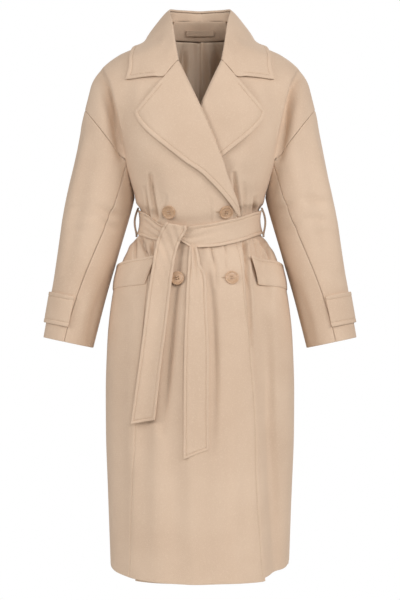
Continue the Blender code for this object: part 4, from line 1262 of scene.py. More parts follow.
# The fold that the chest makes in front of the arm, from the shoulder down to the underarm.
CHEST_FOLD = metres(
    (-206, -90), (-191, -122), (-178.5, -168.4), (-165.5, -225), (-161, -250), (-159, -266)
)
OTHER_CHEST_FOLD = tuple((-x, z - 0.002) for x, z in CHEST_FOLD)
FRONT_CREASES = (
    # bodice: drags beside the lapels, down to the belt
    *creases(
        (5.6, 10.5, -101, -315, -96, -355, -88, -399),
        (3.6, 5.9, -113, -338, -108, -368, -102, -398),
        (3.3, 4.6, -69, -356, -71, -376, -74, -402),
        (5, 13.5, 69, -310, 74, -356, 80, -402),
        (3.4, 5.5, 90, -330, 90, -365, 88, -400),
        (4.6, 10.8, 113, -358, 111, -378, 108, -400),
        (3.3, 3.2, 20, -360, 23, -385, 24, -408),
        end=0.55, lips=1.5,
    ),
    # chest: long soft troughs in front of the arms
    Crease(CHEST_FOLD, 0.015, 0.027, left=0.3),
    Crease(CHEST_FOLD, 0.042, -0.0075, right=0.1),
    Crease(OTHER_CHEST_FOLD, 0.015, 0.026, right=0.3),
    Crease(OTHER_CHEST_FOLD, 0.042, -0.0075, left=0.1),
    *creases(
        (13, -2.2, -125, -95, -127, -150, -115, -215),
        (13, -2.2, 128, -95, 126, -156, 116, -225),
    ),
    # gathers under the belt
    *creases(
        (4.6, 11.1, -120, -440, -112, -465, -101, -490),
        (4, 7.2, -132, -445, -133, -475, -135, -510),
        (4.6, 7.2, -98, -448, -96, -490, -98, -560),
        (4, 5.3, -8, -468, -3, -500, 1, -545),
        (4.3, 5.7, 23, -464, 30, -495, 34, -540),
        (3.6, 4.8, 51, -456, 53, -480, 52, -515),
        (5.3, 14.4, 90, -450, 94, -500, 98.5, -570, 104, -660),
        (4, 8.1, 112, -448, 116, -472, 123, -500),
        (5.3, 12.4, 125, -445, 138, -465, 151, -486),
        (4.6, 6.7, 136, -456, 145, -490, 150, -530),
        start=0.45, lips=1.5,
    ),
    # skirt: broad soft folds down to the hem
    *creases(
        (10, 13.2, -42, -470, -51, -560, -64, -680, -80, -830),
        (8.5, 9.4, 18, -500, 26, -600, 29, -720, 27, -880),
        (26, 6.7, -70, -560, -60, -760, -52, -960, -48, -1150),
        (16, 6.7, -95, -560, -105, -700, -112, -860, -116, -1100),
        (24, 7.7, 43, -570, 52, -730, 58, -900, 62, -1150),
        (18, -4.3, 8, -560, 10, -740, 8, -1150),
        (14, 11.5, 138, -620, 144, -800, 154, -1000, 160, -1150),
        (15, 6, 164, -560, 170, -760, 170, -1150),
        (15, 5.7, -156, -580, -162, -780, -158, -1150),
        (16, -3.4, -25, -700, -20, -860, -16, -1150),
        (18, 4.8, 85, -780, 92, -940, 98, -1150),
    ),
)
BACK_CREASES = creases(
    (10, 6.3, -62, -250, -56, -320, -46, -396),
    (10, 6.6, 64, -245, 56, -320, 48, -396),
    (7.5, 5.4, -98, -310, -92, -350, -85, -395),
    (7.5, 5.1, 96, -300, 92, -350, 86, -395),
    (6.5, 3.3, -18, -335, -16, -365, -13, -395),
    (6.5, 3.6, 14, -320, 15, -360, 16, -395),
    (15, 6.6, -143, -130, -135, -220, -124, -300),
    (15, 6.6, 143, -130, 134, -220, 124, -300),
    (17, 3.9, -62, -90, -70, -140, -66, -200),
    (17, 3.9, 64, -90, 71, -145, 66, -205),
    (7.5, 6.9, -88, -435, -96, -470, -102, -530),
    (7.5, 6.6, 87, -435, 95, -470, 102, -540),
    (7, 5.1, -36, -435, -37, -470, -40, -530),
    (7, 5.4, 32, -435, 35, -475, 38, -550),
    (12, 8.4, -61, -435, -65, -520, -72, -660, -80, -900),
    (12, 8.4, 58, -435, 65, -520, 72, -680, 82, -920),
    (15, 6.9, 3, -435, 6, -540, 8, -720, 11, -1150),
    (17, 7.8, -124, -560, -133, -760, -138, -1150),
    (17, 7.8, 123, -560, 133, -760, 137, -1150),
    (22, -5.1, -30, -650, -34, -860, -36, -1150),
    (22, -5.1, 42, -650, 45, -860, 47, -1150),
    (7, 6, -128, -440, -139, -470, -148, -505),
    (7, 6, 128, -440, 139, -470, 148, -505),
)
# The sleeves' places are millimetres round the arm from its front, and down from the shoulder.
SLEEVE_CREASES = creases(
    (15, 5.2, 20, 60, 26, 160, 30, 260, 26, 380),
    (19, 4.4, 75, 30, 82, 140, 78, 260),
    (15, -3.1, 52, 120, 56, 240, 50, 400),
    (16, 4.7, 105, 90, 112, 220, 106, 400),
    (17, 4.4, 150, 50, 146, 160, 150, 280),
    (15, 4.7, 186, 110, 180, 240, 184, 380),
    # across the inside of the elbow
    (8, 4.4, 4, 232, 34, 246, 66, 250),
    (7, 3.6, -6, 262, 22, 270, 50, 286),
    (8, 2.9, 10, 296, 36, 300, 60, 318),
    (8.5, 4.9, -70, 236, -40, 244, -10, 236),
    (8, 4.2, -66, 276, -36, 280, -8, 270),
    (8, 3.6, 196, 250, 216, 246, 240, 236),
    # above the cuff tab
    (7, 2.6, 30, 390, 52, 404, 76, 398),
    (7, 2.6, 120, 384, 142, 402, 166, 396),
    (12, 3.4, -60, 400, -52, 460, -56, 520),
    (11, 2.6, -20, 380, -14, 450, -16, 520),
)


def body_relief(points: Array, rows: Array | None = None) -> Array:
    """How far the listed creases of the body push the cloth in at each point."""
    x, y, z = points[..., 0], points[..., 1], points[..., 2]
    push = np.zeros(x.shape)
    for creases, face in ((FRONT_CREASES, Face.FRONT), (BACK_CREASES, Face.BACK)):
        on_face = smooth(0.0, 0.03, y * face.value)
        for crease in creases:
            push += crease.push(x, z) * on_face
    pull = 0.0011 * np.sin(x * 190 + 3 * np.sin(x * 41)) * np.exp(-(((z + 0.455) / 0.02) ** 2))
    return push + pull * (np.abs(x) < 0.16)


def sleeve_relief(points: Array, rows: Array, side: Side) -> Array:
    """How far the listed creases of a sleeve push the cloth in at each point."""
    along, out, behind = arm_parts(points, side)
    angle = np.mod(np.arctan2(out, -behind) + np.pi / 2, 2 * np.pi) - np.pi / 2
    round_arm = angle * ARM_RADIUS
    shift = 0.004 * side.value  # the two sleeves don't crease alike
    push = np.zeros(along.shape)
    for number, crease in enumerate(SLEEVE_CREASES):
        sway = shift * math.cos(2.1 * number)
        push += crease.push(round_arm + sway, along + 2 * sway) * (1 + 0.2 * math.sin(number + side.value))
    share = smooth(0.0, 1.5, rows)  # beside the armhole it goes with the body's own creases
    return push * smooth(0.0, 0.05, along) * share + body_relief(points) * (1 - share)


def inset(grid: Array, edges: Sequence[str], amount: float = SEAM) -> Array:
    """Draws the named edges of a grid in, so that two pieces don't touch at their seam."""
    grid = grid.copy()
    if "low" in edges:
        grid[0] += unit(grid[1] - grid[0]) * amount
    if "high" in edges:
        grid[-1] += unit(grid[-2] - grid[-1]) * amount
    if "start" in edges:
        grid[:, 0] += unit(grid[:, 1] - grid[:, 0]) * amount
    if "end" in edges:
        grid[:, -1] += unit(grid[:, -2] - grid[:, -1]) * amount
    return grid


def grid_normals(grid: Array) -> Array:
    """The normal at each point of a grid, by its neighbours."""
    return unit(np.cross(np.gradient(grid, axis=1), np.gradient(grid, axis=0)))


# ---------------------------------------------------------------- the body


@dataclass
class FrontShell(Shell):
    """The right front, from which the side panel is cut away below the pocket."""

    cut: tuple[int, int] | None = None  # coarse row and column of the side panel's corner

    def corner(self) -> tuple[int, int]:
        """The fine row and column of the side panel's corner."""
        row = int(np.abs(self.index[:, 0, 0] - self.cut[0]).argmin())
        column = int(np.abs(self.index[0, :, 1] - self.cut[1]).argmin())
        return row, column

    def cells(self) -> Array:
        """Every cell but those of the side panel."""
        kept = super().cells()
        if self.cut is not None:
            row, column = self.corner()
            kept[:row, column:] = False
        return kept

    def pinned_seams(self, outer: Array) -> Numbers:
        """The dip beside the seam of the side panel."""
        if self.cut is None:
            return 0.0
        row, column = self.corner()
        at = lengths_along(outer, 1)
        dip = SEAM_DIP * np.clip(1 - np.abs(at - at[:, column : column + 1]) / SEAM_REACH, 0, 1) ** 2
        dip[row:] = 0.0
        return dip


@dataclass
class Body:
    """Both fronts, the right one's side panel and the back."""

    stitch_from_edge: float = 0.0085
    grids: dict[tuple[Side, Face], Array] = field(default_factory=dict)

    def measure(self) -> None:
        """Works out the coarse grids of all four quarters."""
        for side in Side:
            for face in Face:
                self.grids[side, face] = panel_grid(side, face)

    def base_for(self, side: Side, sunk: bool) -> Callable[[Array, Array], Array]:
        """The function that brings fine points of a panel onto the coat.

        Args:
            side: the side that the panel is worked out for.
            sunk: whether the panel lies under the other front.

        Returns:
            A function of points and their coarse rows.
        """
        body, coat = mirrored(body_form, side), mirrored(coat_form, side)

        def base(points: Array, rows: Array) -> Array:
            share = body_share(rows)[..., None]
            placed = mix(onto(points, body), onto(points, coat), share)
            if sunk:
                placed = placed - normals_of(coat, placed) * sink_of(placed)[..., None]
            return placed

        return base

    def normals(self, grid: Array, side: Side) -> Array:
        """The way out at each coarse point."""
        low, high = (normals_of(mirrored(form, side), grid) for form in (body_form, coat_form))
        share = body_share(np.arange(len(grid)))[:, None, None]
        return unit(mix(low, high, share))

    def shells(self) -> list[Shell]:
        """The body's shells, ready to draw."""
        made: list[Shell] = []
        seam, free = Edge.SEAM, Edge.FREE
        for side in Side:
            grid = inset(self.grids[side, Face.FRONT], ("end", "high"))
            inner = grid - self.normals(grid, side) * WALL
            edge = {2: Stitching(self.stitch_from_edge, 0.0, 0.6)}
            base = self.base_for(side, side is Side.LEFT)
            common = {"base": base, "relief": body_relief, "step": 0.0044}
            cut = (SIDE_SEAM_ROW, SIDE_SEAM_COLUMN) if side is Side.RIGHT else None
            pins = {"row_pins": cut[:1], "column_pins": cut[1:]} if cut else {}
            edges = (free, seam, free, seam)
            name = f"front_{side.word}"
            made.append(FrontShell(name, grid, inner, side, edges, stitched=edge, cut=cut, **common, **pins))
            if cut:
                part = inset(grid[: cut[0] + 1, cut[1] :], ("start",))
                part_in = inner[: cut[0] + 1, cut[1] :]
                edges = (free, Edge.HIDDEN, seam, seam)
                made.append(Shell("side_front_right", part, part_in, side, edges, **common))
        halves = []
        for side in Side:
            half = inset(self.grids[side, Face.BACK], ("end", "high"))
            out = self.normals(half, side) * side.turn
            order = slice(None, 0, -1) if side is Side.RIGHT else slice(None)
            halves.append(((half * side.turn)[:, order], out[:, order]))
        outer, out = (np.concatenate(pair, axis=1) for pair in zip(*halves))
        edges = (free, seam, seam, seam)
        base = self.base_for(Side.LEFT, False)
        inner = outer - out * WALL
        made.append(Shell("back", outer, inner, Side.LEFT, edges, base=base, relief=body_relief, step=0.0064))
        return made


# ---------------------------------------------------------------- the sleeves


def arm_point(along: Array, angle: Array, level: float = 0.0) -> Array:
    """A point of the arm tube; the angle is 0 in front and a quarter turn outside."""
    wide = ARM.at("half_width", along) + level
    deep = ARM.at("half_depth", along) + level
    out = (wide * np.sin(angle))[..., None] * ARM_OUT
    behind = (-deep * np.cos(angle))[..., None] * ARM_BACK
    return SHOULDER + along[..., None] * ARM_AXIS + out + behind


@dataclass
class Sleeves:
    """Two-piece sleeves and their cuff tabs."""

    rows: int = 10
    cuff_angles: dict[str, float] = field(
        default_factory=lambda: {"front_seam": 5.0, "outside": 90.0, "back_seam": 178.0, "inside": 270.0}
    )
    tab_reach: tuple[float, float] = (0.432, 0.497)
    tab_level: float = LAYER + 0.0042
    tab_wall: float = 0.0038
    tab_stitch: float = 0.009

    def strip(self, ring: Array, side: Side, seams: Sequence[str], upper: bool) -> tuple[Array, Array]:
        """The coarse grids of one strip of sleeve.

        Args:
            ring: its part of the armhole ring, at +X.
            side: the wearer's side.
            seams: the names of its seams and middle at the cuff.
            upper: whether it is the outer strip.

        Returns:
            Its outer and inner grids.
        """
        relative = ring - SHOULDER
        along = relative @ ARM_AXIS
        wide, deep = ARM.at("half_width", along), ARM.at("half_depth", along)
        angle = np.unwrap(np.arctan2((relative @ ARM_OUT) / wide, -(relative @ ARM_BACK) / deep))
        angle = angle + 2 * np.pi * (angle.mean() < 0)
        share = np.linspace(0, 1, len(ring))
        marks = [self.cuff_angles[s] for s in seams]
        marks[2] += 360.0 * (marks[2] < marks[1])
        cuff = np.radians(np.interp(share, (0, 0.5, 1), marks))
        lift = ring - arm_point(along, angle)
        rows = []
        for s in np.linspace(0, 1, self.rows + 1) ** 1.15:
            turned = mix(angle, cuff, float(smooth(0, 1, s)))
            rows.append(arm_point(mix(along, CUFF, s), turned) + lift * (1 - float(smooth(0, 0.22, s))))
        grid = np.array(rows)
        clear = push_clear(grid[1:], mirrored(body_form, side), WALL / 2 + LAYER)
        grid = np.concatenate([grid[:1], clear])
        grid = inset(grid, ("low", "start", "end"), 1.5 * SEAM)
        normals = normals_of(lambda points: arm_form(points, Side.LEFT), grid)
        if upper:
            lean = 2 * np.sin(np.pi * share)[:, None] ** 0.5
            normals[0] = unit(normals[0] + lean * normals_of(mirrored(coat_form, side), ring))
        return grid, grid - normals * WALL

    def shells(self, body: Body) -> list[Shell]:
        """The sleeves' shells, ready to draw."""
        made: list[Shell] = []
        for side in Side:
            front = body.grids[side, Face.FRONT][RING_START:, -1]
            back = body.grids[side, Face.BACK][RING_START:, -1]
            upper = np.concatenate([front[VALLEY_ROWS:], back[VALLEY_ROWS:-1][::-1]])
            under = np.concatenate([back[: VALLEY_ROWS + 1][::-1], front[1 : VALLEY_ROWS + 1]])
            strips = (
                ("sleeve_upper", upper, ("front_seam", "outside", "back_seam"), True),
                ("sleeve_under", under, ("back_seam", "inside", "front_seam"), False),
            )
            for word, ring, seams, is_upper in strips:
                outer, inner = self.strip(ring, side, seams, is_upper)
                edges = (Edge.SEAM, Edge.FREE, Edge.SEAM, Edge.SEAM)
                relief = self.relief_for(side)
                name = f"{word}_{side.word}"
                made.append(Shell(name, outer, inner, side, edges, relief=relief, step=0.0055))
            made.append(self.tab(side))
        return made

    def relief_for(self, side: Side) -> Callable[[Array, Array], Array]:
        """The creases of one side's sleeve, as a function of points."""
        return lambda points, rows: sleeve_relief(points, rows, side)

    def tab(self, side: Side) -> Shell:
        """The cuff tab, from the front sleeve seam round the outside to the back one."""
        angle = np.radians(np.linspace(2.0, 180.0, 15))[None, :]
        along = mix(*self.tab_reach, np.linspace(0, 1, 4))[:, None] + 0.0 * angle
        angle = angle + 0.0 * along
        outer = arm_point(along, angle, self.tab_level)
        inner = arm_point(along, angle, self.tab_level - self.tab_wall)
        stitched = {0: Stitching(self.tab_stitch), 1: Stitching(self.tab_stitch)}
        name = f"cuff_tab_{side.word}"
        return Shell(name, outer, inner, side, (Edge.FREE,) * 4, step=0.0045, stitched=stitched)


# ---------------------------------------------------------------- lapels and collar

LAPEL_LOW = -0.396  # height where a lapel starts, just above the break
LAPEL_TIP = -0.184  # height of its tip
LAPEL_NOTCH = (0.0734, -0.1146)  # where the seam to the collar ends: from the centre, height
# The rows of its roll: how far out from the front's edge, and, on the shown face, at which share
# of the way from the front up to the lapel, or how far up on the hidden one.
LAPEL_ROLL = ((0.0026, 0.0), (0.005, 0.35), (0.0056, 0.7))
LAPEL_ROLL_IN = ((0.002, 0.0003), (0.0026, 0.0004), (0.0026, 0.0005))
GORGE_GAP = 0.0008  # collar and lapel each keep this far from the seam between them
COLLAR_WALL = 0.003
FALL_BULGE = 0.005  # how far the collar bulges off a straight line just outside its roll
SHOULDER_BULGE = 0.011  # the same halfway down, where it turns over the shoulder
STAND_GAP = 0.0012
# The collar's roll line and its outer edge, from the front end round to the centre back.
ROLL_LINE = (
    *((0.0455, -0.1126, -0.08), (0.053, -0.088, -0.033), (0.059, -0.048, 0.011)),
    *((0.065, -0.005, 0.04), (0.056, 0.042, 0.049), (0.0, 0.078, 0.052)),
)
FALL_EDGE = (
    *((0.152, -0.09, -0.118), (0.135, -0.062, -0.083), (0.127, 0.005, -0.04)),
    *((0.112, 0.072, -0.04), (0.058, 0.108, -0.046), (0.0, 0.118, -0.047)),
)
NOTCH = (0.074, -0.1195, -0.1135)
# The collar's first rows beside its roll line, on the shown and on the hidden face: outward and
# up from it, and, where the roll lies flat at the front end, outward and ahead.
BENT_SHOWN = ((-0.003, -0.0035), (-0.0022, -0.0006), (0.0, 0.001))
BENT_HIDDEN = ((-0.0006, -0.0036), (-0.0002, -0.0029), (0.0006, -0.0022))
FLAT_SHOWN = ((-0.003, -0.0006), (-0.0024, 0.0006), (-0.001, 0.0012))
FLAT_HIDDEN = ((-0.0006, -0.0016), (0.0, -0.0014), (0.0008, -0.001))


@dataclass
class Lapels:
    """The turned-back lapels, each with the roll where it folds off its front."""

    stitch: float = 0.009
    notch: float = 0.34

    def shells(self) -> list[Shell]:
        """Both lapels, ready to draw."""
        return [self.lapel(side) for side in Side]

    def lapel(self, side: Side) -> Shell:
        """One lapel: its roll off the front's edge and its face on the chest."""
        coat = mirrored(coat_form, side)
        a = np.linspace(0, 1, 13)[:, None]
        w = np.linspace(0, 1, 9)[None, :]
        roll_z, edge_z = mix(LAPEL_LOW, LAPEL_TOP, a), mix(LAPEL_LOW, LAPEL_TIP, a)
        roll_x = -FRONT_EDGE.at("past_centre", roll_z)
        edge_x = -LAPEL_EDGE.at("past_centre", edge_z)
        top_x = np.interp(w, (0, self.notch, 1), (roll_x[-1, 0], LAPEL_NOTCH[0], edge_x[-1, 0]))
        top_z = np.interp(w, (0, self.notch, 1), (LAPEL_TOP, LAPEL_NOTCH[1], LAPEL_TIP))
        top_z = top_z - 2.2 * GORGE_GAP
        x = mix(roll_x, edge_x, w) + (top_x - mix(roll_x[-1:], edge_x[-1:], w)) * a**3
        z = mix(roll_z, edge_z, w) + (top_z - mix(roll_z[-1:], edge_z[-1:], w)) * a**3
        x = x + 0.0015 * (w == 1) * (a < 0.02)
        spots = front_spot(coat, x, z)
        normals = normals_of(coat, spots)
        covered = sink_of(spots) if side is Side.LEFT else np.zeros(x.shape)
        lift = 0.0012 * np.sin(np.pi * np.clip(w, 0, 1)) * smooth(0.1, 0.6, a)
        level = ON_PANEL + UNDER_LAPEL * (side is Side.LEFT) - covered + lift
        face = spots + normals * level[..., None]
        under = -covered[:, :1] - WALL * 0.5
        step_in = unit((spots[:, 0] - spots[:, 1]) * LEVEL_PART)
        roll, roll_in = [], []
        for out, share in LAPEL_ROLL:
            height = mix(under[:, 0], level[:, 0], share)
            roll.append(spots[:, 0] + step_in * out + normals[:, 0] * height[:, None])
        for out, rise in LAPEL_ROLL_IN:
            height = under[:, 0] + WALL * 0.5 + rise
            roll_in.append(spots[:, 0] + step_in * out + normals[:, 0] * height[:, None])
        outer = np.concatenate([np.stack(roll, axis=1), face], axis=1)
        inner = np.concatenate([np.stack(roll_in, axis=1), face - normals * LAPEL_WALL], axis=1)
        edges = (Edge.FREE, Edge.FREE, Edge.HIDDEN, Edge.FREE)
        stitched = {1: Stitching(self.stitch, 0.42, 1.0), 3: Stitching(self.stitch)}
        name = f"lapel_{side.word}"
        return Shell(name, outer, inner, side, edges, step=0.0046, stitched=stitched, curl=0.0022)


def both_sides(half: Array) -> Array:
    """A grid from the left's front end round the back to the right's, out of its +X half."""
    return np.concatenate([half * np.array((-1.0, 1.0, 1.0)), half[:, -2::-1]], axis=1)


@dataclass
class Collar:
    """The collar: its fall from the roll line out over the shoulders, and the stand inside."""

    columns: int = 12
    stitch: float = 0.009
    stand_start: int = 4  # the column at which the stand begins

    def grids(self) -> tuple[Array, Array, Array, Array]:
        """The fall's outer and inner grids, and its first shown and hidden rows."""
        roll, edge = spline(ROLL_LINE, self.columns), spline(FALL_EDGE, self.columns)
        u = np.linspace(0, 1, self.columns)
        near_end = np.clip(1 - u * 2.2, 0, 1)[:, None] ** 2
        gap = np.array((0.0, 0.0, GORGE_GAP)) * near_end
        ahead, lift = np.array((0.0, -1.0, 0.0)), np.array((0.0, 0.0, 1.0))
        front = np.clip(u / 0.25, 0, 1)[:, None]  # at the front end the roll lies flat
        outward = unit((edge - roll) * LEVEL_PART)
        shares = (0.0, 0.12, 0.23, 0.36, 0.52, 0.68, 0.84, 1.0)
        end = np.stack([np.interp(shares, (0, 0.36, 1), c) for c in zip(roll[0], NOTCH, edge[0])], axis=-1)
        rows = []
        for k, share in enumerate(shares):
            bend = (end[k] - mix(roll[0], edge[0], share)) * near_end
            over = np.exp(-(((u - 0.5) / 0.2) ** 2))[:, None] * math.sin(math.pi * share**1.3)
            bulge = FALL_BULGE * share / 0.2 * math.exp(1 - share / 0.2) + SHOULDER_BULGE * over
            rows.append(mix(roll, edge, share) + bend + gap + (lift + 0.6 * outward) * bulge * front)
        fall = push_clear(np.array(rows)[1:], coat_form, ON_PANEL + 0.0012 - 0.0016 * smooth(0.1, 0.3, u))
        fall_in = fall + grid_normals(fall) * COLLAR_WALL
        roll = roll + gap
        beside = []
        for flat, bent in ((FLAT_SHOWN, BENT_SHOWN), (FLAT_HIDDEN, BENT_HIDDEN)):
            level = [roll + outward * a + ahead * b for a, b in flat]
            turned = [roll + outward * a + lift * b for a, b in bent]
            beside.append([mix(a, b, front) for a, b in zip(level, turned)])
        shown, hidden = beside
        outer, inner = np.concatenate([shown, fall]), np.concatenate([hidden, fall_in])
        for grid in (outer, inner):
            grid[:, -1, 0] = 0.0
        return outer, inner, shown[0], hidden[0]

    def shells(self, body: Body) -> list[Shell]:
        """The fall and the stand, ready to draw."""
        outer, inner, shown, hidden = self.grids()
        ends = Stitching(self.stitch, 0.46, 1.0)
        stitched = {1: Stitching(self.stitch), 2: ends, 3: ends}
        edges = (Edge.HIDDEN, Edge.FREE, Edge.FREE, Edge.FREE)
        grids = both_sides(outer), both_sides(inner)
        fall = Shell("collar_fall", *grids, Side.LEFT, edges, step=0.0046, stitched=stitched, curl=0.0018)
        return [fall, self.stand(body, shown, hidden)]

    def stand(self, body: Body, shown: Array, hidden: Array) -> Shell:
        """The stand inside the fall, from the neck seam up to the roll line.

        Args:
            body: has the fronts and the back that it is sewn to.
            shown: the fall's first row on its shown face.
            hidden: the same on its hidden face.

        Returns:
            The shell.
        """
        neck = round(NECK_SHARE * (COLUMNS[Face.BACK] - 1))
        fronts, backs = body.grids[Side.LEFT, Face.FRONT], body.grids[Side.LEFT, Face.BACK]
        seam = np.concatenate([fronts[-3:, 0], backs[-1, neck - 1 :: -1]])
        along = unit(np.gradient(seam, axis=0))
        off = np.cross(along, normals_of(coat_form, seam))
        seam = seam + off * np.sign(off[:, 2:]) * STAND_GAP
        down = np.array((0.0, 0.0, -0.0014))
        top = spline((shown + down)[self.stand_start :], len(seam))
        top_in = spline((hidden + down)[self.stand_start :], len(seam))
        out = unit(np.cross(top - seam, along))
        out = out * np.sign((out * seam * LEVEL_PART).sum(axis=-1, keepdims=True))
        share = np.linspace(0.0, 1.0, 4)[:, None, None]
        stand, stand_back = mix(seam - out * WALL, top, share), mix(seam, top_in, share)
        for grid in (stand, stand_back):
            grid[:, -1, 0] = 0.0
        edges = (Edge.SEAM, Edge.HIDDEN, Edge.HIDDEN, Edge.HIDDEN)
        grids = both_sides(stand), both_sides(stand_back)
        return Shell("collar_stand", *grids, Side.LEFT, edges, step=0.005)


# ---------------------------------------------------------------- inside the neck

INSIDE = WALL + 0.0075  # how deep the facing and the lining lie inside the back
INSIDE_TOP = WALL + 0.0036  # the same along the neck seam
FACING_LOW = -0.0115  # height of the seam between facing and lining
INSIDE_EDGES = (Edge.SEAM, Edge.SEAM, Edge.HIDDEN, Edge.HIDDEN)


@dataclass
class NeckInside:
    """What shows inside the neck: the neck facing, the hanger loop and the pleated lining."""

    facing_angle: float = 57.0  # how far round from the centre back the facing goes
    facing_top: tuple[float, float] = (0.029, 0.0062)  # its height there, and how much it drops
    lining_low: float = -0.4
    lining_half: tuple[float, float] = (0.07, 0.11)  # half its width, at its top and lower down
    pleat: float = 0.0062
    loop_half: float = 0.0295
    loop_heights: tuple[float, float] = (0.009, -0.003)
    # the lining's soft folds: how far from the centre, how wide and how far they stand out
    folds: tuple[tuple[float, float, float], ...] = (
        *((-0.05, 0.006, 0.0078), (-0.037, 0.005, -0.0078), (-0.024, 0.007, 0.0075)),
        *((0.02, 0.006, 0.0063), (0.034, 0.006, -0.0087), (0.049, 0.007, 0.0093)),
    )

    def shells(self) -> list[Shell]:
        """The facing, the lining and the loop, ready to draw."""
        return [self.facing(), self.lining(), self.loop()]

    def facing(self) -> Shell:
        """The neck facing, from the neck seam down to the lining."""
        angle = np.radians(np.linspace(-self.facing_angle, self.facing_angle, 33))
        way = vector(np.sin(angle), np.cos(angle), 0.0)
        middle, drop = self.facing_top
        top = middle - drop * np.sin(angle) ** 2
        ends = []
        for height, depth in ((top, INSIDE_TOP), (FACING_LOW + 0.0 * angle, INSIDE)):
            spot = reach_form(coat_form, vector(0.0, 0.0, height), way)
            ends.append(spot - normals_of(coat_form, spot) * LEVEL_PART * depth)
        grid = np.array([mix(*ends, share) for share in np.linspace(0, 1, 7)])
        inner = grid - normals_of(coat_form, grid) * WALL
        return self.turned(Shell("neck_facing", grid, inner, Side.LEFT, INSIDE_EDGES, step=0.004))

    def lining(self) -> Shell:
        """The lining down the inside of the back, with its pleat and soft folds."""
        t = np.linspace(0, 1, 27)[:, None]
        x = np.linspace(-1, 1, 61)[None, :] * mix(*self.lining_half, np.minimum(t * 2.5, 1.0))
        spot = back_spot(x, mix(FACING_LOW + 0.0022, self.lining_low, t))
        normals = normals_of(coat_form, spot)
        # the pleat: a fold that lies to one side, and a furrow beside it
        open_out = smooth(0.0, 0.5, t)
        fold = self.pleat * np.exp(-(((x + 0.004) / mix(0.009, 0.016, open_out)) ** 2))
        fold = fold * smooth(0.0025, -0.001, x)
        fold -= 0.003 * np.exp(-(((x - 0.005) / 0.0045) ** 2)) * (1 - 0.5 * open_out)
        for place, width, depth in self.folds:
            away = (x - place * (1 + 0.4 * t)) / (width * (1 + t))
            fold += depth * np.exp(-(away**2)) * smooth(0.0, 0.1, t)
        grid = spot - normals * (INSIDE + 0.0006 + fold)[..., None]
        inner = grid - normals * THIN
        shell = Shell("back_lining", grid, inner, Side.LEFT, INSIDE_EDGES, step=0.0028, roll=0.0006)
        return self.turned(shell)

    def loop(self) -> Shell:
        """The hanger loop across the facing, bowed off it."""
        x = np.linspace(-self.loop_half, self.loop_half, 15)[None, :]
        t = np.linspace(0, 1, 3)[:, None]
        spot = back_spot(x, mix(*self.loop_heights, t))
        gap = 0.0003 + 0.0035 * np.clip(1 - (x / 0.0255) ** 2, 0, 1) ** 0.5
        grid = spot - vector(0.0, 1.0, 0.0) * (1.05 * (INSIDE + WALL) + 0.0006 + gap)[..., None]
        inner = grid - np.array((0.0, 0.0022, 0.0))
        edges = (Edge.FREE, Edge.FREE, Edge.HIDDEN, Edge.HIDDEN)
        return Shell("hanger_loop", inner, grid, Side.LEFT, edges, step=0.002, roll=0.001)

    @staticmethod
    def turned(shell: Shell) -> Shell:
        """The shell with the face that looks into the neck as its outer one."""
        shell.outer, shell.inner = shell.inner, shell.outer
        return shell


# ---------------------------------------------------------------- belt and pockets

BELT_LEVEL = 0.003
# The loose stretches of the belt, row by row in millimetres: height, left and right edge, and how
# far the outer face lies in front of the coat. The upper one starts as the wrap, which comes up
# from under the belt and turns over its top. The lower one starts behind the belt.
OVER_ROWS = metres(
    (-420, -69, -30, 1),
    (-415, -69.2, -29, 4),
    (-414, -69.7, -27.8, 8.5),
    (-416, -71.2, -27, 12.5),
    (-420.5, -74.2, -27, 12),
    (-432, -81.5, -31.5, 13.2),
    (-447, -87.6, -39.5, 12.5),
    (-464, -91.5, -46, 12.5),
    (-482, -94.1, -50, 12),
    (-498, -96.6, -52.4, 12),
    (-525, -100.6, -56.6, 10.5),
    (-566, -106.7, -61.6, 6),
    (-626, -114.3, -68.9, 5),
    (-686, -122, -76.4, 5.6),
    (-746, -130, -83, 6.2),
    (-813, -140, -90.5, 5.4),
)
UNDER_ROWS = metres(
    (-456, -21.5, -7, 3),
    (-466, -23, -4.6, 9),
    (-480, -23.5, -1, 8.5),
    (-497, -24, 2, 7),
    (-520, -26.2, 11.9, 6.5),
    (-566, -28.5, 13.9, 5),
    (-655, -31.8, 17.9, 4),
    (-740, -33, 17.9, 4),
    (-820, -33.5, 17.9, 4),
    (-876.5, -33.9, 17.9, 4),
)


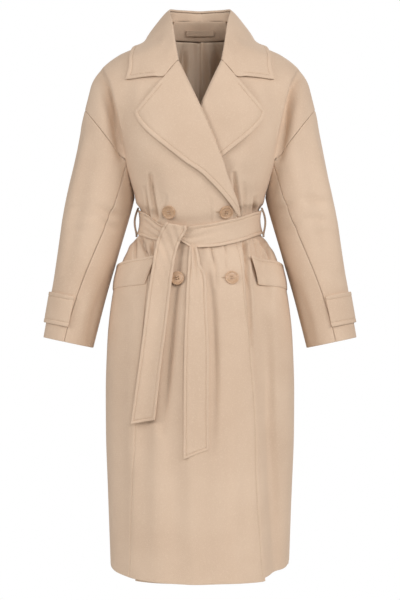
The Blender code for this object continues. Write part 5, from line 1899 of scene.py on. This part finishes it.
@dataclass
class Belt:
    """The tie belt: the band round the waist, the wrap of its knot, two tails and two loops."""

    stitch: float = 0.0065
    knot_creases: float = 0.0026
    loop_heights: tuple[float, float] = (-0.373, -0.435)
    loop_reach: float = 0.1352  # how far a loop bows out from the centre
    loop_wall: float = 0.0034

    def shells(self) -> list[Shell]:
        """The belt's shells, ready to draw."""
        over = self.strip("belt_tail_over", OVER_ROWS, 0.01)
        over.also = ("belt_wrap",)
        under = self.strip("belt_tail_under", UNDER_ROWS, 0.02)
        return [self.band(), over, under, *(self.loop(side) for side in Side)]

    def band(self) -> Shell:
        """The band round the waist, drawn together towards the knot."""
        stretches = ((-19, -9, 5), (-5, 60, 14), (70, 290, 24), (300, 337, 10))
        degrees = np.concatenate([np.linspace(*stretch) for stretch in stretches])
        angles = np.radians(degrees)
        heights = belt_line((angles + np.pi) % (2 * np.pi) - np.pi) + 0.003 * smooth(-6, -19, degrees)
        half = self.half_width(degrees)
        outer = self.band_grid(angles, heights, half, BELT_LEVEL + BELT_WALL)
        inner = self.band_grid(angles, heights, half, BELT_LEVEL)
        hide = Edge.HIDDEN
        stitched = {0: Stitching(self.stitch, 0.06, 0.97), 1: Stitching(self.stitch, 0.06, 0.97)}
        edges = (Edge.FREE, Edge.FREE, hide, hide)
        return Shell(
            "belt_round", outer, inner, Side.LEFT, edges, step=0.0036, stitched=stitched, relief=self.pull
        )

    @staticmethod
    def half_width(degrees: Array) -> Array:
        """Half of the band's width at angles from the front, where the knot draws it together."""
        near = 0.1 * smooth(26, -6, degrees) + 0.42 * smooth(-6, -19, degrees)
        near = near + 0.34 * smooth(304, 325, degrees)
        return BELT_WIDTH / 2 * (1 - near)

    def pull(self, points: Array, rows: Array) -> Array:
        """The lengthwise creases of the band where it runs into the knot and over the hips."""
        angle = np.arctan2(points[..., 0], -points[..., 1])
        degrees = np.degrees(angle)
        share = rows / 3
        near = smooth(34, -8, degrees) * (degrees > -60)
        far = smooth(-56, -30, degrees) * smooth(-20, -24, degrees)
        fan = 0.5 - 0.5 * np.cos(2 * np.pi * (3.0 * share + 0.35 * np.sin(4 * angle)))
        edge = smooth(0.0, 0.12, share) * smooth(1.0, 0.88, share)
        soft = 0.5 + 0.5 * np.sin(9 * angle + 2.5 * share)
        cross = np.exp(-(((degrees - 14 - 26 * share) / 7) ** 2))
        cross = cross + 0.8 * np.exp(-(((degrees - 40 - 12 * share) / 8) ** 2))
        creases = self.knot_creases * (near**1.5 + 0.7 * far) * fan * edge
        return creases + 0.001 * soft + 0.0009 * cross * (degrees > 0)

    @staticmethod
    def band_grid(angles: Array, heights: Array, half: Array, level: float) -> Array:
        """A band round the body.

        Args:
            angles: the places round the body.
            heights: the band's middle there.
            half: half of its width there.
            level: how far it lies outside the body.

        Returns:
            Points from its top edge to its bottom edge.
        """
        share = np.linspace(1, -1, 4)[:, None]
        height = heights[None, :] + share * half[None, :]
        way = vector(np.sin(angles), -np.cos(angles), 0.0)[None, :] + 0.0 * height[..., None]
        start = vector(0.0, 0.0, heights)[None, :] + 0.0 * height[..., None]
        middle = reach_form(body_form, start, way)
        rows = []
        for k in range(4):
            spot = reach_form(body_form, vector(0.0, 0.0, height[k]), way[k])
            least = np.linalg.norm(middle[k, :, :2], axis=1) - 0.001
            radius = np.maximum(np.linalg.norm(spot[:, :2], axis=1), least)
            place = way[k] * (radius + level)[:, None]
            place[:, 2] = height[k]
            rows.append(place)
        return np.array(rows)

    def strip(self, name: str, rows: Sequence[tuple[float, ...]], slant: float) -> Shell:
        """A loose stretch of the belt in front of the coat.

        Args:
            name: the piece's name.
            rows: its rows, as in OVER_ROWS.
            slant: how much higher its last row is at the wearer's left.

        Returns:
            The shell.
        """
        grid, columns = [], 9
        for number, (height, left, right, level) in enumerate(rows):
            x = np.linspace(left, right, columns)
            last = number == len(rows) - 1
            tilt = slant * last - 0.0085 * smooth(-0.447, -0.417, height) * (name == "belt_tail_over")
            z = height + tilt * np.linspace(-0.5, 0.5, columns)
            spot = front_spot(coat_form, x, z)
            smooth_y = mix(spot[:, 1], np.minimum(spot[:, 1], spot[:, 1].mean()), 0.5)
            grid.append(vector(x, smooth_y - level, z))
        outer = np.array(grid)
        inner = outer + grid_normals(outer) * BELT_WALL
        stitched = {k: Stitching(self.stitch, 0.0 if k == 1 else 0.02) for k in (1, 2, 3)}
        relief = self.over_relief if name == "belt_tail_over" else self.under_relief
        edges = (Edge.HIDDEN, Edge.FREE, Edge.FREE, Edge.FREE)
        return Shell(
            name, outer, inner, Side.LEFT, edges, step=0.0036, stitched=stitched, relief=relief, curl=0.0012
        )

    def over_relief(self, points: Array, rows: Array) -> Array:
        """The folds of the upper tail: drawn in over the knot, then soft down to its end."""
        x, z = points[..., 0], points[..., 2]
        lean = x + 0.36 * (z + 0.43)
        near = smooth(-0.56, -0.44, z)
        folds = 0.0011 * np.cos(2 * np.pi * lean / 0.017) + 0.0006 * np.cos(2 * np.pi * lean / 0.0083)
        down = (-0.45 - z) / 0.36
        return folds * near * smooth(-0.4115, -0.42, z) + 0.0013 * np.sin(9 * down + 30 * x) * (1 - near)

    def under_relief(self, points: Array, rows: Array) -> Array:
        """The folds of the lower tail: gathered where it leaves the belt, then soft."""
        x, z = points[..., 0], points[..., 2]
        near = smooth(-0.6, -0.475, z)
        lean = x + 0.012 + 0.1 * (z + 0.47)
        folds = 0.0018 * np.cos(2 * np.pi * lean / 0.0105)
        down = (-0.47 - z) / 0.4
        return folds * near + 0.0013 * np.sin(8 * down + 35 * x + 1.0) * (1 - near)

    def loop(self, side: Side) -> Shell:
        """The belt loop at a side seam, bowed off the belt."""
        height = np.linspace(*self.loop_heights, 15)[:, None]
        t = np.linspace(0, 1, 15)[:, None]
        seat = BODY.at("half_width", height) + 0.0006
        bow = mix(seat, self.loop_reach, np.sin(np.pi * t) ** 0.6)
        y = np.linspace(-0.006, 0.006, 5)[None, :]
        inner = vector(bow + 0.0 * y, y + 0.0 * bow, height + 0.0 * y)
        outer = inner + np.array((self.loop_wall, 0.0, 0.0))
        stitched = {2: Stitching(0.0026), 3: Stitching(0.0026)}
        name = f"belt_loop_{side.word}"
        edges = (Edge.FREE,) * 4
        return Shell(name, outer, inner, side, edges, step=0.002, stitched=stitched, roll=0.0011)


@dataclass
class Pockets:
    """Slanted welts over the pocket mouths, from the front round to the side."""

    wall: float = 0.0032
    stitch: float = 0.0065
    top: tuple[float, float] = (-0.4787, -0.502)  # height of the upper edge, in front and at the side
    bottom: tuple[float, float] = (-0.5355, -0.55)
    end: float = 99.0  # the angle round the body at which both end
    # the angle round the body at which each welt starts, at its top and at its bottom
    start: dict[Side, tuple[float, float]] = field(
        default_factory=lambda: {Side.RIGHT: (38.0, 43.0), Side.LEFT: (43.5, 48.5)}
    )

    def shells(self) -> list[Shell]:
        """Both welts, ready to draw."""
        made = []
        for side in Side:
            body = mirrored(body_form, side)
            q = np.linspace(0, 1, 13)[None, :]
            t = np.linspace(0, 1, 4)[:, None]
            angle = np.radians(mix(mix(*self.start[side], t), self.end, q))
            height = mix(mix(*self.top, q), mix(*self.bottom, q), t)
            way = vector(np.sin(angle), -np.cos(angle), 0.0)
            spot = reach_form(body, vector(0.0, 0.0, height), way)
            normals = normals_of(body, spot)
            level = 0.0002 + self.wall * (1.0 - 0.45 * smooth(0.7, 1.0, t)) + 0.0046 * (1 - t) + 0.0 * q
            outer = spot + normals * level[..., None]
            edges = (Edge.FREE, Edge.SEAM, Edge.FREE, Edge.FREE)
            stitched = {0: Stitching(self.stitch), 2: Stitching(0.0035), 3: Stitching(0.0035)}
            name = f"pocket_welt_{side.word}"
            inner = outer - normals * self.wall
            made.append(Shell(name, outer, inner, side, edges, step=0.0045, stitched=stitched))
        return made


# ---------------------------------------------------------------- buttons and sewing


@dataclass
class Sewing:
    """Topstitching along the pieces' edges, buttonholes and the threads of the buttons."""

    pitch: float = 0.004
    length: float = 0.0032
    radius: float = 0.00036
    sides: int = 5
    points: list[Array] = field(default_factory=list)
    faces: list[tuple[int, ...]] = field(default_factory=list)

    def bar(self, first: Array, last: Array, out: Array, radius: float, rise: float) -> None:
        """One stitch: a short round thread whose ends dip into the cloth.

        Args:
            first: where it starts.
            last: where it ends.
            out: the way out of the cloth.
            radius: the thread's radius.
            rise: how high its middle stands above its ends.
        """
        way = unit(last - first)
        across = unit(np.cross(way, out))
        up = np.cross(across, way)
        start = sum(len(p) for p in self.points)
        turn = 2 * np.pi * np.arange(self.sides) / self.sides
        rings = []
        for share, lift in ((0.0, -0.7), (0.16, 0.4), (0.5, 0.7), (0.84, 0.4), (1.0, -0.7)):
            centre = mix(first, last, share) + out * rise * lift
            spokes = np.cos(turn)[:, None] * across + np.sin(turn)[:, None] * up
            rings.append(centre + spokes * radius * (1.0 if 0 < share < 1 else 0.6))
        self.points.append(np.concatenate(rings))
        count = len(rings)
        for i in range(count - 1):
            for k in range(self.sides):
                a, b = start + i * self.sides + k, start + i * self.sides + (k + 1) % self.sides
                self.faces.append((a, b, b + self.sides, a + self.sides))
        self.faces.append(tuple(start + k for k in reversed(range(self.sides))))
        self.faces.append(tuple(start + (count - 1) * self.sides + k for k in range(self.sides)))

    def line(self, path: Array) -> None:
        """A line of topstitching along a path of points with their ways out."""
        if len(path) < 3:
            return
        at = lengths_along(path[None, :, :3], 1)[0]
        for begin in np.arange(0.0, at[-1] - self.length, self.pitch):
            marks = (begin, begin + self.length)
            ends = np.stack([np.interp(marks, at, values) for values in path.T], axis=-1)
            self.bar(ends[0, :3], ends[1, :3], unit(ends[0, 3:]), self.radius, self.radius)

    def hole(self, centre: Array, across: Array, up: Array, out: Array, half: float) -> None:
        """A worked buttonhole: close stitches all round a slit, with a round eye at one end."""
        width = 0.0013
        pitch = 0.00065
        count = round(half * 2 / pitch)
        for sign in (-1, 1):
            for k in range(count + 1):
                x = -half + 2 * half * k / count
                near = centre + across * x + up * sign * 0.0002
                self.bar(near, near + up * sign * width, out, self.radius, 0.0002)
        for k in range(11):
            turn = math.radians(90 + 180 * k / 10)
            spoke = across * math.cos(turn) + up * math.sin(turn)
            near = centre - across * half + spoke * 0.0003
            self.bar(near, near + spoke * width, out, self.radius, 0.0002)

    def build(self, shop: Workshop, name: str) -> bpy.types.Object:
        """Makes all the stitches so far one piece, and clears them."""
        piece = shop.add(name, np.concatenate(self.points), self.faces, shop.thread)
        self.points, self.faces = [], []
        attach(piece, "root")
        return piece


@dataclass
class Buttons:
    """Four-hole buttons with a raised rim and a dished middle."""

    # each button's place as seen from the front, and its seat's distance from the coat's form
    places: dict[str, tuple[float, float, float]] = field(
        default_factory=lambda: {
            "button_upper_right": (-0.0632, -0.3893, 0.0003),
            "button_upper_left": (0.053, -0.389, 0.0014),
            "button_lower_right": (-0.0457, -0.523, 0.0003),
            "button_lower_left": (0.0644, -0.5217, 0.0003),
        }
    )
    turns: tuple[float, ...] = (12, -7, 20, 4)  # how many degrees each was turned as it was sewn on
    corners: int = 64
    rim: float = 0.0026
    dish: float = 0.0012
    hole: float = 0.0013
    hole_from_middle: float = 0.0033

    def master(self, shop: Workshop) -> bpy.types.Mesh:
        """Models one button, lying on its back at the origin, and returns its mesh."""
        bpy.ops.object.select_all(action="DESELECT")
        radius = BUTTON_WIDTH / 2
        bpy.ops.mesh.primitive_cylinder_add(
            vertices=self.corners, radius=radius, depth=BUTTON_WALL, location=(0, 0, BUTTON_WALL / 2)
        )
        button = bpy.context.object
        self.pick(button, lambda face: face.normal.z > 0.9)
        bpy.ops.object.mode_set(mode="EDIT")
        bpy.ops.mesh.inset(thickness=self.rim, depth=0.0)
        bpy.ops.mesh.inset(thickness=0.0011, depth=-self.dish)
        bpy.ops.mesh.inset(thickness=0.0022, depth=-0.0002)
        bpy.ops.object.mode_set(mode="OBJECT")
        rounding = button.modifiers.new("edges", "BEVEL")
        rounding.width, rounding.segments = 0.0007, 3
        rounding.limit_method, rounding.angle_limit = "ANGLE", math.radians(25)
        bpy.ops.object.modifier_apply(modifier=rounding.name)
        for k in range(4):
            turn = math.pi / 4 + k * math.pi / 2
            reach = self.hole_from_middle
            at = (reach * math.cos(turn), reach * math.sin(turn), BUTTON_WALL / 2)
            bpy.ops.object.select_all(action="DESELECT")
            bpy.ops.mesh.primitive_cylinder_add(
                vertices=20, radius=self.hole, depth=BUTTON_WALL * 3, location=at
            )
            drill = bpy.context.object
            bpy.context.view_layer.objects.active = button
            cut = button.modifiers.new("hole", "BOOLEAN")
            cut.operation, cut.object, cut.solver = "DIFFERENCE", drill, "EXACT"
            bpy.ops.object.modifier_apply(modifier=cut.name)
            bpy.data.objects.remove(drill, do_unlink=True)
        bpy.ops.object.select_all(action="DESELECT")
        button.select_set(True)
        bpy.context.view_layer.objects.active = button
        bpy.ops.object.shade_smooth_by_angle(angle=math.radians(38))
        mesh = button.data.copy()
        mesh.materials.clear()
        mesh.materials.append(shop.horn)
        bpy.data.objects.remove(button, do_unlink=True)
        return mesh

    @staticmethod
    def pick(piece: bpy.types.Object, wanted: Callable[[bpy.types.MeshPolygon], bool]) -> None:
        """Selects the faces of a mesh that are wanted, and nothing else."""
        bpy.ops.object.mode_set(mode="EDIT")
        bpy.ops.mesh.select_mode(type="FACE")
        bpy.ops.mesh.select_all(action="DESELECT")
        bpy.ops.object.mode_set(mode="OBJECT")
        for face in piece.data.polygons:
            face.select = wanted(face)

    def build(self, shop: Workshop, sewing: Sewing) -> None:
        """Places the four buttons with their threads, and works the buttonholes.

        Args:
            shop: holds the finishes.
            sewing: takes the threads.
        """
        master = self.master(shop)
        for number, (name, (x, z, seat)) in enumerate(self.places.items()):
            spot = front_spot(coat_form, x, z)
            out = normals_of(coat_form, spot)
            across = unit(np.cross((0.0, 0.0, 1.0), out))
            up = np.cross(out, across)
            base = spot + out * seat
            mesh = master.copy()
            axes = np.stack([across, up, out], axis=1)
            place = Matrix([*np.column_stack([axes, base]).tolist(), [0, 0, 0, 1]])
            turn = Matrix.Rotation(math.radians(self.turns[number]), 4, "Z")
            mesh.transform(place @ turn)
            piece = bpy.data.objects.new(f"{name}_resin", mesh)
            bpy.context.scene.collection.objects.link(piece)
            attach(piece, "root")
            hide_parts(name)
            spin = np.array(turn.to_3x3())
            floor = BUTTON_WALL - self.dish - 0.0002
            for sign in (-1, 1):
                for k in (-0.35, 0.35):
                    y = sign * self.hole_from_middle * 0.7 + k * 0.001
                    ends = []
                    for s in (-1, 1):
                        hole = spin @ np.array((s * self.hole_from_middle * 0.74, y, 0.0))
                        ends.append(base + out * (floor + 0.0002) + axes @ hole)
                    sewing.bar(*ends, out, 0.00045, 0.0006)
            if x > 0:
                start = front_spot(coat_form, x - 0.0115, z)
                way = normals_of(coat_form, start)
                level = unit(np.cross((0.0, 0.0, 1.0), way))
                sewing.hole(start + way * 0.0001, level, np.cross(way, level), way, 0.008)


# ---------------------------------------------------------------- the studio

WHITE = (1.0, 1.0, 1.0)
WARM_WHITE = (1.0, 0.975, 0.965)


@dataclass
class Studio:
    """A plain pale floor, soft lamps, and the camera at the photograph's viewing angle."""

    distance: float = 3.4
    height: float = -0.567
    half_view: float = 0.63
    floor_height: float = -1.45
    floor_radius: float = 1.25

    def build(self) -> None:
        """Adds the floor, the lamps, the background and the camera."""
        self.add_floor()
        self.add_lamp("key", (0.75, -3.3, 0.4), 0.8, 32.0, WARM_WHITE)
        self.add_lamp("right", (2.6, -2.0, 0.8), 1.6, 56.0, WARM_WHITE)
        self.add_lamp("left", (-2.7, -1.9, 0.6), 1.6, 50.0, WARM_WHITE)
        self.add_lamp("back", (0.4, 3.0, 1.2), 2.4, 60.0, WHITE)
        world = bpy.data.worlds.new("studio")
        world.use_nodes = True
        nodes, links = world.node_tree.nodes, world.node_tree.links
        light = nodes["Background"]
        NodeTree.fill(light, {"Color": (1.0, 0.995, 0.985, 1.0), "Strength": 0.32})
        seen = nodes.new("ShaderNodeBackground")
        NodeTree.fill(seen, {"Color": (*WHITE, 1.0), "Strength": 1.0})
        both = nodes.new("ShaderNodeMixShader")
        path = nodes.new("ShaderNodeLightPath")
        links.new(path.outputs["Is Camera Ray"], both.inputs[0])
        links.new(light.outputs[0], both.inputs[1])
        links.new(seen.outputs[0], both.inputs[2])
        links.new(both.outputs[0], nodes["World Output"].inputs["Surface"])
        bpy.context.scene.world = world
        bpy.context.scene.view_settings.view_transform = "Standard"
        self.add_camera()

    def add_floor(self) -> None:
        """Adds the floor, a round pale plate under the coat."""
        bpy.ops.object.select_all(action="DESELECT")
        bpy.ops.mesh.primitive_circle_add(
            vertices=96, radius=self.floor_radius, fill_type="NGON", location=(0, 0, self.floor_height)
        )
        floor = bpy.context.object
        floor.name = "floor"
        tree = NodeTree("studio floor")
        where = tree.add("ShaderNodeTexCoord").outputs["Object"]
        cloud = tree.noise(where, scale=2.0, detail=3.0)
        tree.paint(tree.blend_colours(cloud, (0.8, 0.79, 0.77), (0.86, 0.855, 0.84)))
        tree.fill(tree.shader, {"Roughness": 0.8})
        floor.data.materials.append(tree.material)

    @staticmethod
    def add_lamp(
        name: str, place: Sequence[float], size: float, power: float, colour: Sequence[float]
    ) -> None:
        """Adds a soft square lamp that looks at the coat's chest.

        Args:
            name: the lamp's name.
            place: where it hangs.
            size: its side.
            power: its power in watts.
            colour: its colour.
        """
        lamp = bpy.data.lights.new(name, "AREA")
        lamp.size, lamp.energy, lamp.color = size, power, colour
        made = bpy.data.objects.new(name, lamp)
        made.location = place
        made.rotation_euler = (Vector((0.0, 0.0, -0.5)) - made.location).to_track_quat("-Z", "Y").to_euler()
        bpy.context.scene.collection.objects.link(made)

    def add_camera(self) -> None:
        """Adds the camera: level, straight in front of the coat."""
        camera = bpy.data.cameras.new("camera")
        camera.sensor_fit = "VERTICAL"
        camera.angle_y = 2 * math.atan(self.half_view / self.distance)
        made = bpy.data.objects.new("camera", camera)
        made.location = (0.0, -self.distance, self.height)
        made.rotation_euler = (math.pi / 2, 0.0, 0.0)
        bpy.context.scene.collection.objects.link(made)
        bpy.context.scene.camera = made


# ---------------------------------------------------------------- the coat

HELD = {
    "belt_tail_over": ("hung", ["belt_round"]),
    "belt_tail_under": ("hung", ["belt_round"]),
    "belt_round": ("gathered", ["front_right", "back"]),
    "back_lining": ("hung", ["neck_facing"]),
    "collar_fall": ("folded", ["back"]),
    "lapel_right": ("folded", ["front_right"]),
    "lapel_left": ("folded", ["front_left"]),
}


@dataclass
class Coat:
    """The whole coat: its pieces, in the order in which they are made up."""

    body: Body = field(default_factory=Body)
    sleeves: Sleeves = field(default_factory=Sleeves)
    lapels: Lapels = field(default_factory=Lapels)
    collar: Collar = field(default_factory=Collar)
    inside: NeckInside = field(default_factory=NeckInside)
    belt: Belt = field(default_factory=Belt)
    pockets: Pockets = field(default_factory=Pockets)
    buttons: Buttons = field(default_factory=Buttons)
    sewing: Sewing = field(default_factory=Sewing)

    def build(self, shop: Workshop) -> None:
        """Draws and makes every piece, sets it on the root body and hides its solids, then sews them."""
        self.body.measure()
        shells = self.body.shells() + self.sleeves.shells(self.body) + self.lapels.shells()
        shells += self.collar.shells(self.body) + self.inside.shells()
        shells += self.belt.shells() + self.pockets.shells()
        for shell in shells:
            shell.draw()
            is_lining = shell.name == "back_lining"
            piece = shell.build(shop, shop.lining if is_lining else shop.wool)
            held, rests_on = HELD.get(shell.name, ("draped", []))
            shell.declare(piece, held, rests_on, "lining" if is_lining else "coat_cloth")
            for line in shell.stitches:
                self.sewing.line(line)
        self.sewing.build(shop, "topstitching")
        self.buttons.build(shop, self.sewing)
        self.sewing.build(shop, "button_threads")


def main() -> None:
    """Loads the solids, dresses them and sets up the studio."""
    logging.basicConfig(level=logging.INFO, format="%(name)s: %(message)s")
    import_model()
    Studio().build()
    Coat().build(Workshop())


if __name__ == "__main__":
    main()
